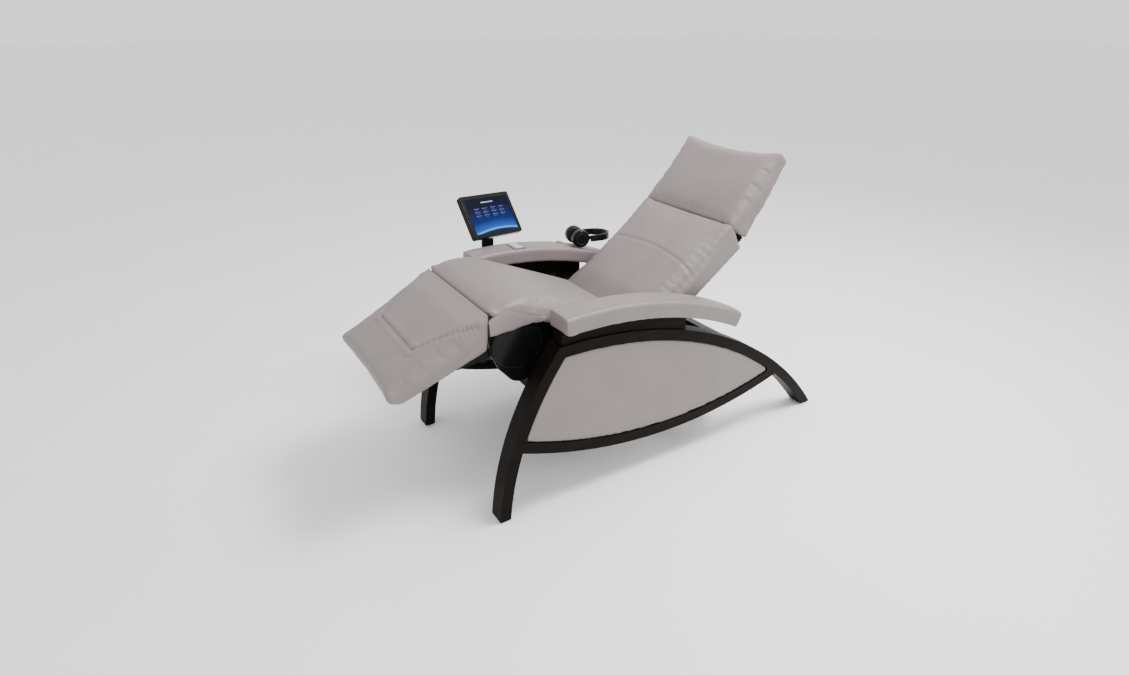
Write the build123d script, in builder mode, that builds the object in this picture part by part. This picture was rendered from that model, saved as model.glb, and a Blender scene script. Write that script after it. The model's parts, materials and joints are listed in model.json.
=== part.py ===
from build123d import *
import os
from math import atan2, cos, degrees, hypot, radians, sin

# Reclining massage chair: bentwood side frames, tilting seat, hinged back, head and leg rests.
# Millimetres. X across the chair (the sitter's left is +X), Y from the foot end (-Y) to the head
# end (+Y), Z up. The origin is on the floor, at the centre of the four feet.
os.makedirs("parts", exist_ok=True)

# --- side frames: every outline in the YZ plane is an arc about one of these centres ---
FRAME_INNER_X = 312.5
FRAME_THICKNESS = 65.0
FRAME_OUTER_X = FRAME_INNER_X + FRAME_THICKNESS
MEMBER = 40.0
LEG_CENTRE, LEG_R = (357.0, -93.0), 1125.0
ARCH_CENTRE, ARCH_R = (-459.0, -933.0), 1534.0
RAIL_CENTRE, RAIL_R = (-30.0, 1900.0), 1728.0
GLIDE_HEIGHT = 5.0
FOOT_Y = (-744.0, 734.0)
TIP_RADIUS = 22.0
BOARD_X, BOARD_THICKNESS = 316.0, 15.0
PAD_X, PAD_THICKNESS = 331.0, 41.0

# --- armrests ---
ARM_CENTRE, ARM_BOTTOM_R, ARM_THICKNESS = (-401.0, -766.0), 1407.0, 59.0
ARM_INNER_X, ARM_OUTER_X = 284.0, 397.0
ARM_FRONT_ANGLE, ARM_REAR_ANGLE = 4.5, -26.3
ARM_EDGE = 13.0
ARM_BOARD_INSET, ARM_BOARD_THICKNESS = 14.0, 12.0
RISER_FRONT_Y, RISER_REAR_Y = -520.0, -9.0
RISER_INSET = 6.0

# --- moving upholstered sections: planes with x along the section, y out of its surface ---
KNEE = (-615.0, 590.0)
SEAT_PIVOT = (-165.0, 400.0)
BACK_HINGE = (-110.0, 528.0)
HEAD_HINGE = (296.0, 825.0)
SEAT_ANGLE, BACK_ANGLE, HEAD_ANGLE, LEG_ANGLE = -22.5, 36.7, 49.0, 209.2
CREST_R, ROLL_R, COVE_R, LEG_TOP_R = 150.0, 142.0, 146.0, 152.0
SEAT_LENGTH, BACK_LENGTH, HEAD_LENGTH, LEG_LENGTH = 483.0, 494.0, 328.0, 430.0
SEAT_HALF, BACK_HALF, LEG_HALF = 258.0, 257.0, 258.0
ROLL_HALF = 224.0
SEAT_PAD, BACK_PAD, HEAD_PAD, HEAD_EDGE_PAD = 85.0, 118.0, 104.0, 62.0
PLY = 12.0
SEAT_BOARD = 15.0
BOARD_HALF, LEG_BOARD_HALF, BACK_COVER_HALF = 234.0, 235.0, 238.0

# --- steel mechanism ---
RAIL_INNER_X, RAIL_WIDTH, RAIL_HEIGHT = 200.0, 20.0, 40.0
PIN_R, BIG_PIN_R, RUNNING = 6.0, 8.0, 0.05
ARM_PLATE_X, ARM_PLATE = 226.0, 6.0
SHROUD_X, SHROUD_THICKNESS = 238.0, 8.0
COVER_R, COVER_THICKNESS = 92.0, 12.0
TILT_X, BACK_X, LEG_X = 0.0, -70.0, 70.0
TILT_FIXED, TILT_MOVING = (245.0, 260.0), (-205.0, 270.0)
BACK_FIXED, BACK_MOVING = (-520.0, 490.0), (-85.0, 410.0)
LEG_FIXED, LEG_MOVING = (-215.0, 400.0), (-671.0, 493.0)
PIVOT_SLACK = 3.6
EAR_GAP, EAR, EAR_R = 14.0, 6.0, 13.0
TUBE_R, TUBE_START, BORE_R, ROD_R = 18.0, 24.0, 10.0, 9.5
ROD_TRAVEL = 190.0
HINGE_X, HINGE_LEAF = 268.0, 5.0
HEAD_BRACKET_X, HEAD_BRACKET, HEAD_LEAF_X, HEAD_PIN_R = 196.0, 3.0, 199.5, 5.0
HEAD_SLOT_X, HEAD_SLOT = 193.5, 12.0

# --- wood between the side frames, steel posts and electrics: (y, z) unless noted ---
STRETCHERS = {
    "front_stretcher": ((-455.0, 248.0), (-420.0, 300.0)),
    "rear_stretcher": ((225.0, 168.0), (265.0, 228.0)),
}
CROSS_RAIL_FRONT, CROSS_RAIL_REAR, CROSS_RAIL_THICKNESS = (135.0, 455.0), (248.0, 402.0), 24.0
POST_THICKNESS, POST_WIDTH, POST_BOTTOM, POST_TOP = 8.0, 60.0, 145.0, 560.0
POST_X = FRAME_INNER_X - POST_THICKNESS
POST_BOSS_R, POST_BOSS = 16.0, 30.0
BOLT_R, BOLT_HEAD, BOLT_SPREAD = 7.5, 6.0, 15.0
BOX_CENTRE, BOX_SIZE, BOX_BOTTOM, BOX_HEIGHT = (180.0, 294.0), (190.0, 58.0), 166.0, 64.0
INLET_CENTRE, INLET_SIZE, INLET_SOCKET = (180.0, 196.0), (27.6, 19.6), (23.0, 15.0)
SPEAKER_R, SPEAKER_DEPTH = 42.0, 30.0

# --- control panel and dial in the right armrest ---
PANEL_ORIGIN, PANEL_SIZE, PANEL_HEIGHT = (-335.0, -307.0, 689.0), (74.0, 48.0), 11.0
ROCKER_SIZE = (25.0, 30.0, 8.0)
ROCKER_X = {"recline_rocker": -17.0, "leg_rocker": 17.0}
AXLE_Z, AXLE_R, AXLE_REACH = 8.0, 1.5, 1.8
KNOB_X, KNOB_ANGLE, KNOB_R, KNOB_HEIGHT = -374.0, -12.7, 15.0, 11.0

# --- tablet on a swivelling post, outside the right armrest ---
TABLET_CENTRE = (-425.0, -365.0, 815.0)
TABLET_YAW, TABLET_PITCH, TABLET_ROLL = 17.0, 35.0, -4.5
TABLET_SIZE = (250.0, 180.0, 22.0)
TABLET_HINGE = (-447.0, -385.0, 768.0)
STALK_CENTRE, STALK_SECTION, STALK_R = (-436.0, -385.0), (16.0, 50.0), 10.0
GLASS_INSET, GLASS_DEPTH = 17.0, 3.0

# --- headphones that lie on the right armrest, band towards the back rest ---
HEADSET_ORIGIN, HEADSET_YAW, HEADSET_ROLL = (-349.0, -4.5, 686.3), radians(-12.0), 0.056
CUP_R, CUP_DEPTH = 37.0, 36.0
CUP_X = {"near_ear_cup": 41.0, "far_ear_cup": -41.0}
BAND_R, BAND_STRAIGHT, BAND_WIDTH, BAND_THICKNESS = 60.0, 78.0, 26.0, 8.0
SWIVEL_R, SWIVEL_DEPTH = 2.0, 7.0

SIDES = {"left": 1, "right": -1}


def section_plane(point, angle):
    """YZ plane at point (y, z), its x axis turned by angle degrees from +Y towards +Z."""
    direction = (0, cos(radians(angle)), sin(radians(angle)))
    return Plane(origin=(0, point[0], point[1]), x_dir=direction, z_dir=(1, 0, 0))


def polar(point, radius, angle):
    """The point (y, z) at radius and angle degrees from another."""
    return (point[0] + radius * cos(radians(angle)), point[1] + radius * sin(radians(angle)))


def local(plane, point):
    """A (y, z) point in a section plane's own coordinates."""
    moved = plane.to_local_coords(Vector(0, point[0], point[1]))
    return (moved.X, moved.Y)


SIDE = section_plane((0, 0), 0)
SEAT = section_plane(polar(KNEE, CREST_R, SEAT_ANGLE + 90), SEAT_ANGLE)
CREASE = polar(polar(KNEE, CREST_R, SEAT_ANGLE + 90), SEAT_LENGTH, SEAT_ANGLE)
BACK = section_plane(CREASE, BACK_ANGLE)
HEAD = section_plane(polar(CREASE, BACK_LENGTH, BACK_ANGLE), HEAD_ANGLE)
LEG = section_plane(KNEE, LEG_ANGLE)

KNOB_CENTRE = polar(ARM_CENTRE, ARM_BOTTOM_R + ARM_THICKNESS - 6, 90 + KNOB_ANGLE)
KNOB_OUT = (0, -sin(radians(KNOB_ANGLE)), cos(radians(KNOB_ANGLE)))
KNOB_PLANE = Plane(origin=(KNOB_X, *KNOB_CENTRE), x_dir=(1, 0, 0), z_dir=KNOB_OUT)
HEADSET_ACROSS = Vector(cos(HEADSET_YAW), sin(HEADSET_YAW), HEADSET_ROLL).normalized()
HEADSET_ALONG = Vector(-sin(HEADSET_YAW), cos(HEADSET_YAW), 0)
HEADSET = Plane(origin=HEADSET_ORIGIN, x_dir=HEADSET_ACROSS, z_dir=HEADSET_ACROSS.cross(HEADSET_ALONG))


def across(plane, sign, near, thickness):
    """The plane to extrude from along +X, to fill near to near + thickness on one side."""
    return plane.offset(near if sign > 0 else -near - thickness)


def save(piece, name):
    """Label a finished piece and write its STEP file."""
    piece.part.label = name
    export_step(piece.part, f"parts/{name}.step")


def disc(centre, radius, mode=Mode.ADD):
    """A circle about a point of the sketch."""
    with Locations(centre):
        Circle(radius, mode=mode)


def box_between(low, high, mode=Mode.ADD):
    """An upright rectangle between two corners of the sketch."""
    with Locations(((low[0] + high[0]) / 2, (low[1] + high[1]) / 2)):
        Rectangle(high[0] - low[0], high[1] - low[1], mode=mode)


def lens(inset=0.0):
    """The area that the front leg, the arch and the lower rail enclose."""
    disc(LEG_CENTRE, LEG_R - MEMBER - inset)
    disc(ARCH_CENTRE, ARCH_R - MEMBER - inset, Mode.INTERSECT)
    disc(RAIL_CENTRE, RAIL_R - inset, Mode.INTERSECT)


def panel_outline(inset):
    """The lens with its rear tip and lower front corner rounded."""
    with BuildSketch(Plane.XY, mode=Mode.PRIVATE) as outline:
        lens(inset)
        corners = outline.vertices().sort_by(Axis.Y)
        fillet(corners[0:2], TIP_RADIUS / 2)
    return outline.sketch


def lug(centre, radius, foot):
    """A flat tapered ear: a disc joined by straight sides to a line of two points."""
    with BuildSketch(Plane.XY, mode=Mode.PRIVATE) as ear:
        with Locations(centre):
            Circle(radius)
        for point in foot:
            with Locations(point):
                Circle(1.0)
        make_hull()
    return ear.sketch


def build_side(side, sign):
    """One bentwood frame with its padded panel and armrest."""
    with BuildPart() as front_leg:
        with BuildSketch(across(SIDE, sign, FRAME_INNER_X, FRAME_THICKNESS)):
            disc(LEG_CENTRE, LEG_R)
            disc(LEG_CENTRE, LEG_R - MEMBER, Mode.SUBTRACT)
            disc(ARCH_CENTRE, ARCH_R - MEMBER, Mode.INTERSECT)
            box_between((-800, GLIDE_HEIGHT), (-400, 700), Mode.INTERSECT)
        extrude(amount=FRAME_THICKNESS)
    save(front_leg, f"{side}_front_leg")

    with BuildPart() as arch_rail:
        with BuildSketch(across(SIDE, sign, FRAME_INNER_X, FRAME_THICKNESS)):
            disc(ARCH_CENTRE, ARCH_R)
            disc(ARCH_CENTRE, ARCH_R - MEMBER, Mode.SUBTRACT)
            disc(LEG_CENTRE, LEG_R, Mode.INTERSECT)
            box_between((-700, GLIDE_HEIGHT), (800, 700), Mode.INTERSECT)
        extrude(amount=FRAME_THICKNESS)
    save(arch_rail, f"{side}_arch_rail")

    with BuildPart() as lower_rail:
        with BuildSketch(across(SIDE, sign, FRAME_INNER_X, FRAME_THICKNESS)):
            disc(RAIL_CENTRE, RAIL_R + MEMBER)
            disc(LEG_CENTRE, LEG_R - MEMBER, Mode.INTERSECT)
            disc(ARCH_CENTRE, ARCH_R - MEMBER, Mode.INTERSECT)
            box_between((-800, 100), (600, 400), Mode.INTERSECT)
            add(panel_outline(0.0), mode=Mode.SUBTRACT)
        extrude(amount=FRAME_THICKNESS)
    save(lower_rail, f"{side}_lower_rail")

    with BuildPart() as side_pad:
        with BuildSketch(across(SIDE, sign, PAD_X, PAD_THICKNESS)):
            add(panel_outline(0.5))
        extrude(amount=PAD_THICKNESS)
    save(side_pad, f"{side}_side_pad")

    with BuildPart() as armrest_pad:
        with BuildSketch(across(SIDE, sign, ARM_INNER_X, ARM_OUTER_X - ARM_INNER_X)):
            armrest_profile(ARM_THICKNESS, 0.0)
        extrude(amount=ARM_OUTER_X - ARM_INNER_X)
        top_edges = armrest_pad.faces().sort_by(Axis.Z)[-1].edges().filter_by(Axis.X, reverse=True)
        fillet(top_edges, ARM_EDGE)
        with BuildSketch(armrest_board_plane(sign)):
            armrest_profile(ARM_BOARD_THICKNESS, ARM_BOARD_INSET)
        extrude(amount=ARM_OUTER_X - ARM_INNER_X - 2 * ARM_BOARD_INSET, mode=Mode.SUBTRACT)
        if side == "right":
            with BuildSketch(Plane(PANEL_ORIGIN)):
                Rectangle(*PANEL_SIZE)
            extrude(amount=30, mode=Mode.SUBTRACT)
            with BuildSketch(KNOB_PLANE):
                Circle(KNOB_R + 1.0)
            extrude(amount=30, mode=Mode.SUBTRACT)
    save(armrest_pad, f"{side}_armrest_pad")


def armrest_profile(thickness, inset):
    """The long side of an armrest: concentric arcs, cut by lines from their centre."""
    reach = 2000.0
    front = polar(ARM_CENTRE, reach, 90 + ARM_FRONT_ANGLE - degrees(inset / ARM_BOTTOM_R))
    rear = polar(ARM_CENTRE, reach, 90 + ARM_REAR_ANGLE + degrees(inset / ARM_BOTTOM_R))
    disc(ARM_CENTRE, ARM_BOTTOM_R + thickness)
    disc(ARM_CENTRE, ARM_BOTTOM_R, Mode.SUBTRACT)
    Polygon(ARM_CENTRE, rear, front, align=None, mode=Mode.INTERSECT)


def armrest_board_plane(sign):
    """Where an armrest's board starts, inset from the pad's sides."""
    width = ARM_OUTER_X - ARM_INNER_X - 2 * ARM_BOARD_INSET
    return across(SIDE, sign, ARM_INNER_X + ARM_BOARD_INSET, width)


def build_frame_pairs():
    """Boards, risers, posts and glides that are alike on both sides."""
    with BuildPart() as side_panels:
        for sign in SIDES.values():
            with BuildSketch(across(SIDE, sign, BOARD_X, BOARD_THICKNESS)):
                add(panel_outline(0.5))
            extrude(amount=BOARD_THICKNESS)
    save(side_panels, "side_panels")

    with BuildPart() as arm_risers:
        width = FRAME_THICKNESS - 2 * RISER_INSET
        for sign in SIDES.values():
            with BuildSketch(across(SIDE, sign, FRAME_INNER_X + RISER_INSET, width)):
                disc(ARM_CENTRE, ARM_BOTTOM_R)
                disc(ARCH_CENTRE, ARCH_R, Mode.SUBTRACT)
                box_between((RISER_FRONT_Y, 400), (RISER_REAR_Y, 800), Mode.INTERSECT)
            extrude(amount=width)
    save(arm_risers, "arm_risers")

    with BuildPart() as armrest_boards:
        for sign in SIDES.values():
            with BuildSketch(armrest_board_plane(sign)):
                armrest_profile(ARM_BOARD_THICKNESS, ARM_BOARD_INSET)
            extrude(amount=ARM_OUTER_X - ARM_INNER_X - 2 * ARM_BOARD_INSET)
    save(armrest_boards, "armrest_boards")

    foot_x = FRAME_INNER_X + FRAME_THICKNESS / 2
    feet = [(sign * foot_x, y) for sign in SIDES.values() for y in FOOT_Y]
    with BuildPart() as foot_glides:
        with BuildSketch(Plane.XY):
            with Locations(*feet):
                RectangleRounded(54, 30, 6)
        extrude(amount=GLIDE_HEIGHT)
    save(foot_glides, "foot_glides")


def build_crosspieces():
    """Wood between the side frames."""
    for name, (low, high) in STRETCHERS.items():
        with BuildPart() as stretcher:
            with BuildSketch(SIDE.offset(-FRAME_INNER_X)) as section:
                box_between(low, high)
                fillet(section.vertices(), 4)
            extrude(amount=2 * FRAME_INNER_X)
        save(stretcher, name)

    front_top = (CROSS_RAIL_FRONT[0], CROSS_RAIL_FRONT[1] + CROSS_RAIL_THICKNESS)
    rear_top = (CROSS_RAIL_REAR[0], CROSS_RAIL_REAR[1] + CROSS_RAIL_THICKNESS)
    with BuildPart() as rear_cross_rail:
        with BuildSketch(SIDE.offset(-FRAME_INNER_X)):
            Polygon(front_top, CROSS_RAIL_FRONT, CROSS_RAIL_REAR, rear_top, align=None)
        extrude(amount=2 * FRAME_INNER_X)
    save(rear_cross_rail, "rear_cross_rail")


def build_posts():
    """The steel posts and stub axles that carry the seat, and their bolts."""
    low = (SEAT_PIVOT[0] - POST_WIDTH / 2, POST_BOTTOM)
    high = (SEAT_PIVOT[0] + POST_WIDTH / 2, POST_TOP)
    axle_start = RAIL_INNER_X - 6
    with BuildPart() as pivot_posts:
        for sign in SIDES.values():
            with BuildSketch(across(SIDE, sign, POST_X, POST_THICKNESS)):
                box_between(low, high)
            extrude(amount=POST_THICKNESS)
            with BuildSketch(across(SIDE, sign, axle_start, POST_X - axle_start)):
                disc(SEAT_PIVOT, BIG_PIN_R)
            extrude(amount=POST_X - axle_start)
            with BuildSketch(across(SIDE, sign, POST_X - POST_BOSS, POST_BOSS)):
                disc(SEAT_PIVOT, POST_BOSS_R)
            extrude(amount=POST_BOSS)
    save(pivot_posts, "pivot_posts")

    bolt_y = (SEAT_PIVOT[0] - BOLT_SPREAD, SEAT_PIVOT[0] + BOLT_SPREAD)
    bolt_z = (POST_BOTTOM + 13, POST_TOP - 13)
    with BuildPart() as frame_bolts:
        for sign in SIDES.values():
            with BuildSketch(across(SIDE, sign, POST_X - BOLT_HEAD, BOLT_HEAD)):
                with Locations(*[(y, z) for y in bolt_y for z in bolt_z]):
                    RegularPolygon(BOLT_R, 6)
            extrude(amount=BOLT_HEAD)
    save(frame_bolts, "frame_bolts")


def build_electrics():
    """The control box with its mains inlet, and the bracket of the tilt actuator."""
    rear_y = BOX_CENTRE[1] + BOX_SIZE[1] / 2
    with BuildPart() as control_box:
        with BuildSketch(Plane.XY.offset(BOX_BOTTOM)):
            with Locations(BOX_CENTRE):
                RectangleRounded(*BOX_SIZE, 6)
        extrude(amount=BOX_HEIGHT)
        with BuildSketch(Plane.XZ.offset(-rear_y)):
            with Locations(INLET_CENTRE):
                Rectangle(INLET_SIZE[0] + 0.4, INLET_SIZE[1] + 0.4)
        extrude(amount=12, mode=Mode.SUBTRACT)
    save(control_box, "control_box")

    with BuildPart() as power_inlet:
        with BuildSketch(Plane.XZ.offset(12 - rear_y)):
            with Locations(INLET_CENTRE):
                Rectangle(*INLET_SIZE)
        extrude(amount=-14)
        with BuildSketch(Plane.XZ.offset(-rear_y - 2)):
            with Locations(INLET_CENTRE):
                RectangleRounded(*INLET_SOCKET, 3)
        extrude(amount=9, mode=Mode.SUBTRACT)
    save(power_inlet, "power_inlet")

    base_z = STRETCHERS["rear_stretcher"][1][1]
    with BuildPart() as tilt_bracket:
        add(ear_pair(SIDE, TILT_X, TILT_FIXED, ((230, base_z + 4), (260, base_z + 4))))
        with BuildSketch(Plane.XY.offset(base_z)):
            with Locations((TILT_X, TILT_FIXED[0])):
                Rectangle(70, 36)
        extrude(amount=5)
    save(tilt_bracket, "tilt_bracket")


def ear_pair(plane, x, point, foot):
    """Two ears and the pin between them, for one end of an actuator."""
    centre = local(plane, point)
    outline = lug(centre, EAR_R, foot)
    with BuildPart(mode=Mode.PRIVATE) as ears:
        for start in (x - EAR_GAP - EAR, x + EAR_GAP):
            with BuildSketch(plane.offset(start)):
                add(outline)
            extrude(amount=EAR)
        with BuildSketch(plane.offset(x - EAR_GAP)):
            disc(centre, PIN_R)
        extrude(amount=2 * EAR_GAP)
    return ears.part


def build_seat_frame():
    """The tilting seat's steel: rails, cross plates with the actuators' ears, and knee pins."""
    knee, pivot = local(SEAT, KNEE), local(SEAT, SEAT_PIVOT)
    hinge = local(SEAT, BACK_HINGE)
    rail_top = -SEAT_PAD - SEAT_BOARD
    foot = rail_top - 4
    wing = HINGE_X - RAIL_INNER_X
    with BuildPart() as seat_rails:
        for sign in SIDES.values():
            with BuildSketch(across(SEAT, sign, RAIL_INNER_X, RAIL_WIDTH)):
                box_between((0, rail_top - RAIL_HEIGHT), (pivot[0], rail_top))
                disc(knee, 24)
                disc(pivot, 26)
                box_between((knee[0], knee[1]), (24, rail_top))
                box_between((pivot[0] - 26, pivot[1]), (pivot[0] + 26, foot))
                disc(knee, BIG_PIN_R + RUNNING, Mode.SUBTRACT)
                disc(pivot, BIG_PIN_R + RUNNING, Mode.SUBTRACT)
            extrude(amount=RAIL_WIDTH)
            with BuildSketch(across(SEAT, sign, RAIL_INNER_X, wing)):
                box_between((400, rail_top - 5), (450, rail_top))
            extrude(amount=wing)
            with BuildSketch(across(SEAT, sign, HINGE_X, HINGE_LEAF)):
                add(lug(hinge, EAR_R, ((401, foot), (449, foot))))
            extrude(amount=HINGE_LEAF)
            with BuildSketch(across(SEAT, sign, HINGE_X + HINGE_LEAF, 7)):
                disc(hinge, PIN_R)
            extrude(amount=7)
    save(seat_rails, "seat_rails")

    with BuildPart() as seat_cross_plates:
        for start, end in ((50, 112), (320, 440)):
            with BuildSketch(SEAT.offset(-RAIL_INNER_X)):
                box_between((start, rail_top - 8), (end, rail_top))
            extrude(amount=2 * RAIL_INNER_X)
        add(ear_pair(SEAT, BACK_X, BACK_FIXED, ((55, foot), (107, foot))))
        add(ear_pair(SEAT, LEG_X, LEG_FIXED, ((380, foot), (430, foot))))
        add(ear_pair(SEAT, TILT_X, TILT_MOVING, ((385, foot), (435, foot))))
    save(seat_cross_plates, "seat_cross_plates")

    pin_start = RAIL_INNER_X - 4
    pin_length = ARM_PLATE_X + ARM_PLATE + 5 - pin_start
    with BuildPart() as knee_pins:
        for sign in SIDES.values():
            with BuildSketch(across(SEAT, sign, pin_start, pin_length)):
                disc(knee, BIG_PIN_R)
            extrude(amount=pin_length)
    save(knee_pins, "knee_pins")


def build_seat():
    """The seat's board, its cushion with a roll over the knee, and two transducers under it."""
    knee = local(SEAT, KNEE)
    rail_top = -SEAT_PAD - SEAT_BOARD
    with BuildPart() as seat_board:
        with BuildSketch(SEAT.offset(-ROLL_HALF)):
            disc(knee, CREST_R - SEAT_PAD)
            disc(knee, CREST_R - SEAT_PAD - SEAT_BOARD, Mode.SUBTRACT)
            Polygon(knee, polar(knee, 200, 90), polar(knee, 200, 187), align=None, mode=Mode.INTERSECT)
            box_between((0, rail_top), (SEAT_LENGTH - 20, rail_top + SEAT_BOARD))
        extrude(amount=2 * ROLL_HALF)
    save(seat_board, "seat_board")

    with BuildPart() as seat_cushion:
        with BuildSketch(SEAT.offset(-ROLL_HALF)):
            disc(knee, ROLL_R)
            disc(knee, CREST_R - SEAT_PAD, Mode.SUBTRACT)
            Polygon(knee, polar(knee, 400, 90), polar(knee, 400, 187.5), align=None,
                    mode=Mode.INTERSECT)
        extrude(amount=2 * ROLL_HALF)
        front = local(SEAT, (-707, 560))
        with BuildSketch(SEAT.offset(-SEAT_HALF)):
            disc(knee, CREST_R)
            box_between((-200, -SEAT_PAD), (0, 10), Mode.INTERSECT)
            Polygon(front, polar(front, 300, 112.5), polar(front, 500, 22.5), polar(front, 600, -22),
                    align=None, mode=Mode.INTERSECT)
            box_between((0, -SEAT_PAD), (SEAT_LENGTH - 7, 0))
        extrude(amount=2 * SEAT_HALF)
    save(seat_cushion, "seat_cushion")

    transducer_plane = Plane(SEAT.from_local_coords(Vector(200, rail_top, 0)),
                             x_dir=(1, 0, 0), z_dir=SEAT.y_dir)
    with BuildPart() as seat_transducers:
        with BuildSketch(transducer_plane):
            with Locations((-137, 0), (137, 0)):
                Circle(SPEAKER_R)
        extrude(amount=-34)
    save(seat_transducers, "seat_transducers")


def build_knee_covers():
    """The black side plates over the knee joint, and the round covers on them."""
    knee = local(SEAT, KNEE)
    rail_top = -SEAT_PAD - SEAT_BOARD
    shroud_top = -SEAT_PAD - 3
    gap = SHROUD_X - RAIL_INNER_X - RAIL_WIDTH
    with BuildPart() as knee_shrouds:
        for sign in SIDES.values():
            with BuildSketch(across(SEAT, sign, SHROUD_X, SHROUD_THICKNESS)):
                disc(knee, 96)
                with BuildLine():
                    Polyline((0, -90), (-60, -224), (-27, -255), (15, -276))
                    Spline((15, -276), (52, -286), (88, -270))
                    Polyline((88, -270), (262, -150), (262, -90), (0, -90))
                make_face()
                box_between((-120, -300), (262, shroud_top), Mode.INTERSECT)
            extrude(amount=SHROUD_THICKNESS)
            with BuildSketch(across(SEAT, sign, SHROUD_X - gap, gap)):
                with Locations((70, rail_top - 20), (220, rail_top - 20)):
                    Circle(9)
            extrude(amount=gap)
    save(knee_shrouds, "knee_shrouds")

    with BuildPart() as knee_covers:
        for sign in SIDES.values():
            with BuildSketch(across(SEAT, sign, SHROUD_X + SHROUD_THICKNESS, COVER_THICKNESS)):
                disc(knee, COVER_R)
                box_between((-120, -300), (120, shroud_top), Mode.INTERSECT)
            extrude(amount=COVER_THICKNESS)
        outer = knee_covers.faces().filter_by(Axis.X).sort_by(Axis.X)
        fillet((outer[0] + outer[-1]).edges(), 8)
    save(knee_covers, "knee_covers")


def hinge_slots(plane, low, high):
    """Slots in a cushion or board for the plates of the head rest's hinge."""
    with BuildPart(mode=Mode.PRIVATE) as slots:
        for sign in SIDES.values():
            with BuildSketch(across(plane, sign, HEAD_SLOT_X, HEAD_SLOT)):
                box_between(low, high)
            extrude(amount=HEAD_SLOT)
    return slots.part


def build_back():
    """The back rest and the hinge that carries the head rest."""
    hinge = local(BACK, BACK_HINGE)
    head_hinge = local(BACK, HEAD_HINGE)
    front_face = -BACK_PAD + PLY
    leaf_x = HINGE_X + HINGE_LEAF + 1
    slots = hinge_slots(BACK, (430, -BACK_PAD - 1), (BACK_LENGTH + 1, -6))
    with BuildPart() as back_frame:
        for sign in SIDES.values():
            with BuildSketch(across(BACK, sign, leaf_x, HINGE_LEAF)):
                add(lug(hinge, 13, ((30, -BACK_PAD - 4), (100, -BACK_PAD - 4), (96, -BACK_PAD + 40))))
                disc(hinge, PIN_R + RUNNING, Mode.SUBTRACT)
            extrude(amount=HINGE_LEAF)
        with BuildSketch(BACK.offset(-leaf_x)):
            box_between((30, -BACK_PAD - 5), (100, -BACK_PAD))
        extrude(amount=2 * leaf_x)
        add(ear_pair(BACK, BACK_X, BACK_MOVING, ((36, -BACK_PAD - 3), (60, -BACK_PAD - 3))))
    save(back_frame, "back_frame")

    with BuildPart() as back_board:
        with BuildSketch(BACK.offset(-BOARD_HALF)):
            box_between((44, -BACK_PAD), (BACK_LENGTH - 24, front_face))
        extrude(amount=2 * BOARD_HALF)
        add(slots, mode=Mode.SUBTRACT)
    save(back_board, "back_board")

    speaker_plane = Plane(BACK.from_local_coords(Vector(0, front_face, 0)),
                          x_dir=BACK.x_dir, z_dir=BACK.y_dir)
    with BuildPart() as back_cushion:
        with BuildSketch(BACK.offset(-BACK_HALF)):
            box_between((9, -BACK_PAD), (BACK_LENGTH - 5, 0))
            Polygon((0, -BACK_PAD - 1), (40, -BACK_PAD - 1), (9, -88), align=None, mode=Mode.SUBTRACT)
        extrude(amount=2 * BACK_HALF)
        with BuildSketch(BACK.offset(-BOARD_HALF)):
            box_between((44, -BACK_PAD), (BACK_LENGTH - 24, front_face))
        extrude(amount=2 * BOARD_HALF, mode=Mode.SUBTRACT)
        with BuildSketch(speaker_plane):
            with Locations((150, 0), (350, 0)):
                Circle(SPEAKER_R + 1)
        extrude(amount=SPEAKER_DEPTH + 1, mode=Mode.SUBTRACT)
        add(slots, mode=Mode.SUBTRACT)
    save(back_cushion, "back_cushion")

    with BuildPart() as back_transducers:
        with BuildSketch(speaker_plane):
            with Locations((150, 0), (350, 0)):
                Circle(SPEAKER_R)
        extrude(amount=SPEAKER_DEPTH)
    save(back_transducers, "back_transducers")

    with BuildPart() as back_cover:
        with BuildSketch(BACK.offset(-BACK_COVER_HALF)):
            box_between((106, -BACK_PAD - 5), (BACK_LENGTH - 66, -BACK_PAD))
        extrude(amount=2 * BACK_COVER_HALF)
    save(back_cover, "back_cover")

    with BuildPart() as head_brackets:
        for sign in SIDES.values():
            with BuildSketch(across(BACK, sign, HEAD_BRACKET_X, HEAD_BRACKET)):
                add(lug(head_hinge, 9, ((440, -BACK_PAD - 3), (464, -BACK_PAD - 3))))
            extrude(amount=HEAD_BRACKET)
            with BuildSketch(across(BACK, sign, HEAD_BRACKET_X + HEAD_BRACKET, 4)):
                disc(head_hinge, HEAD_PIN_R)
            extrude(amount=4)
        with BuildSketch(BACK.offset(-BACK_COVER_HALF)):
            box_between((440, -BACK_PAD - 4), (464, -BACK_PAD))
        extrude(amount=2 * BACK_COVER_HALF)
    save(head_brackets, "head_brackets")


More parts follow.
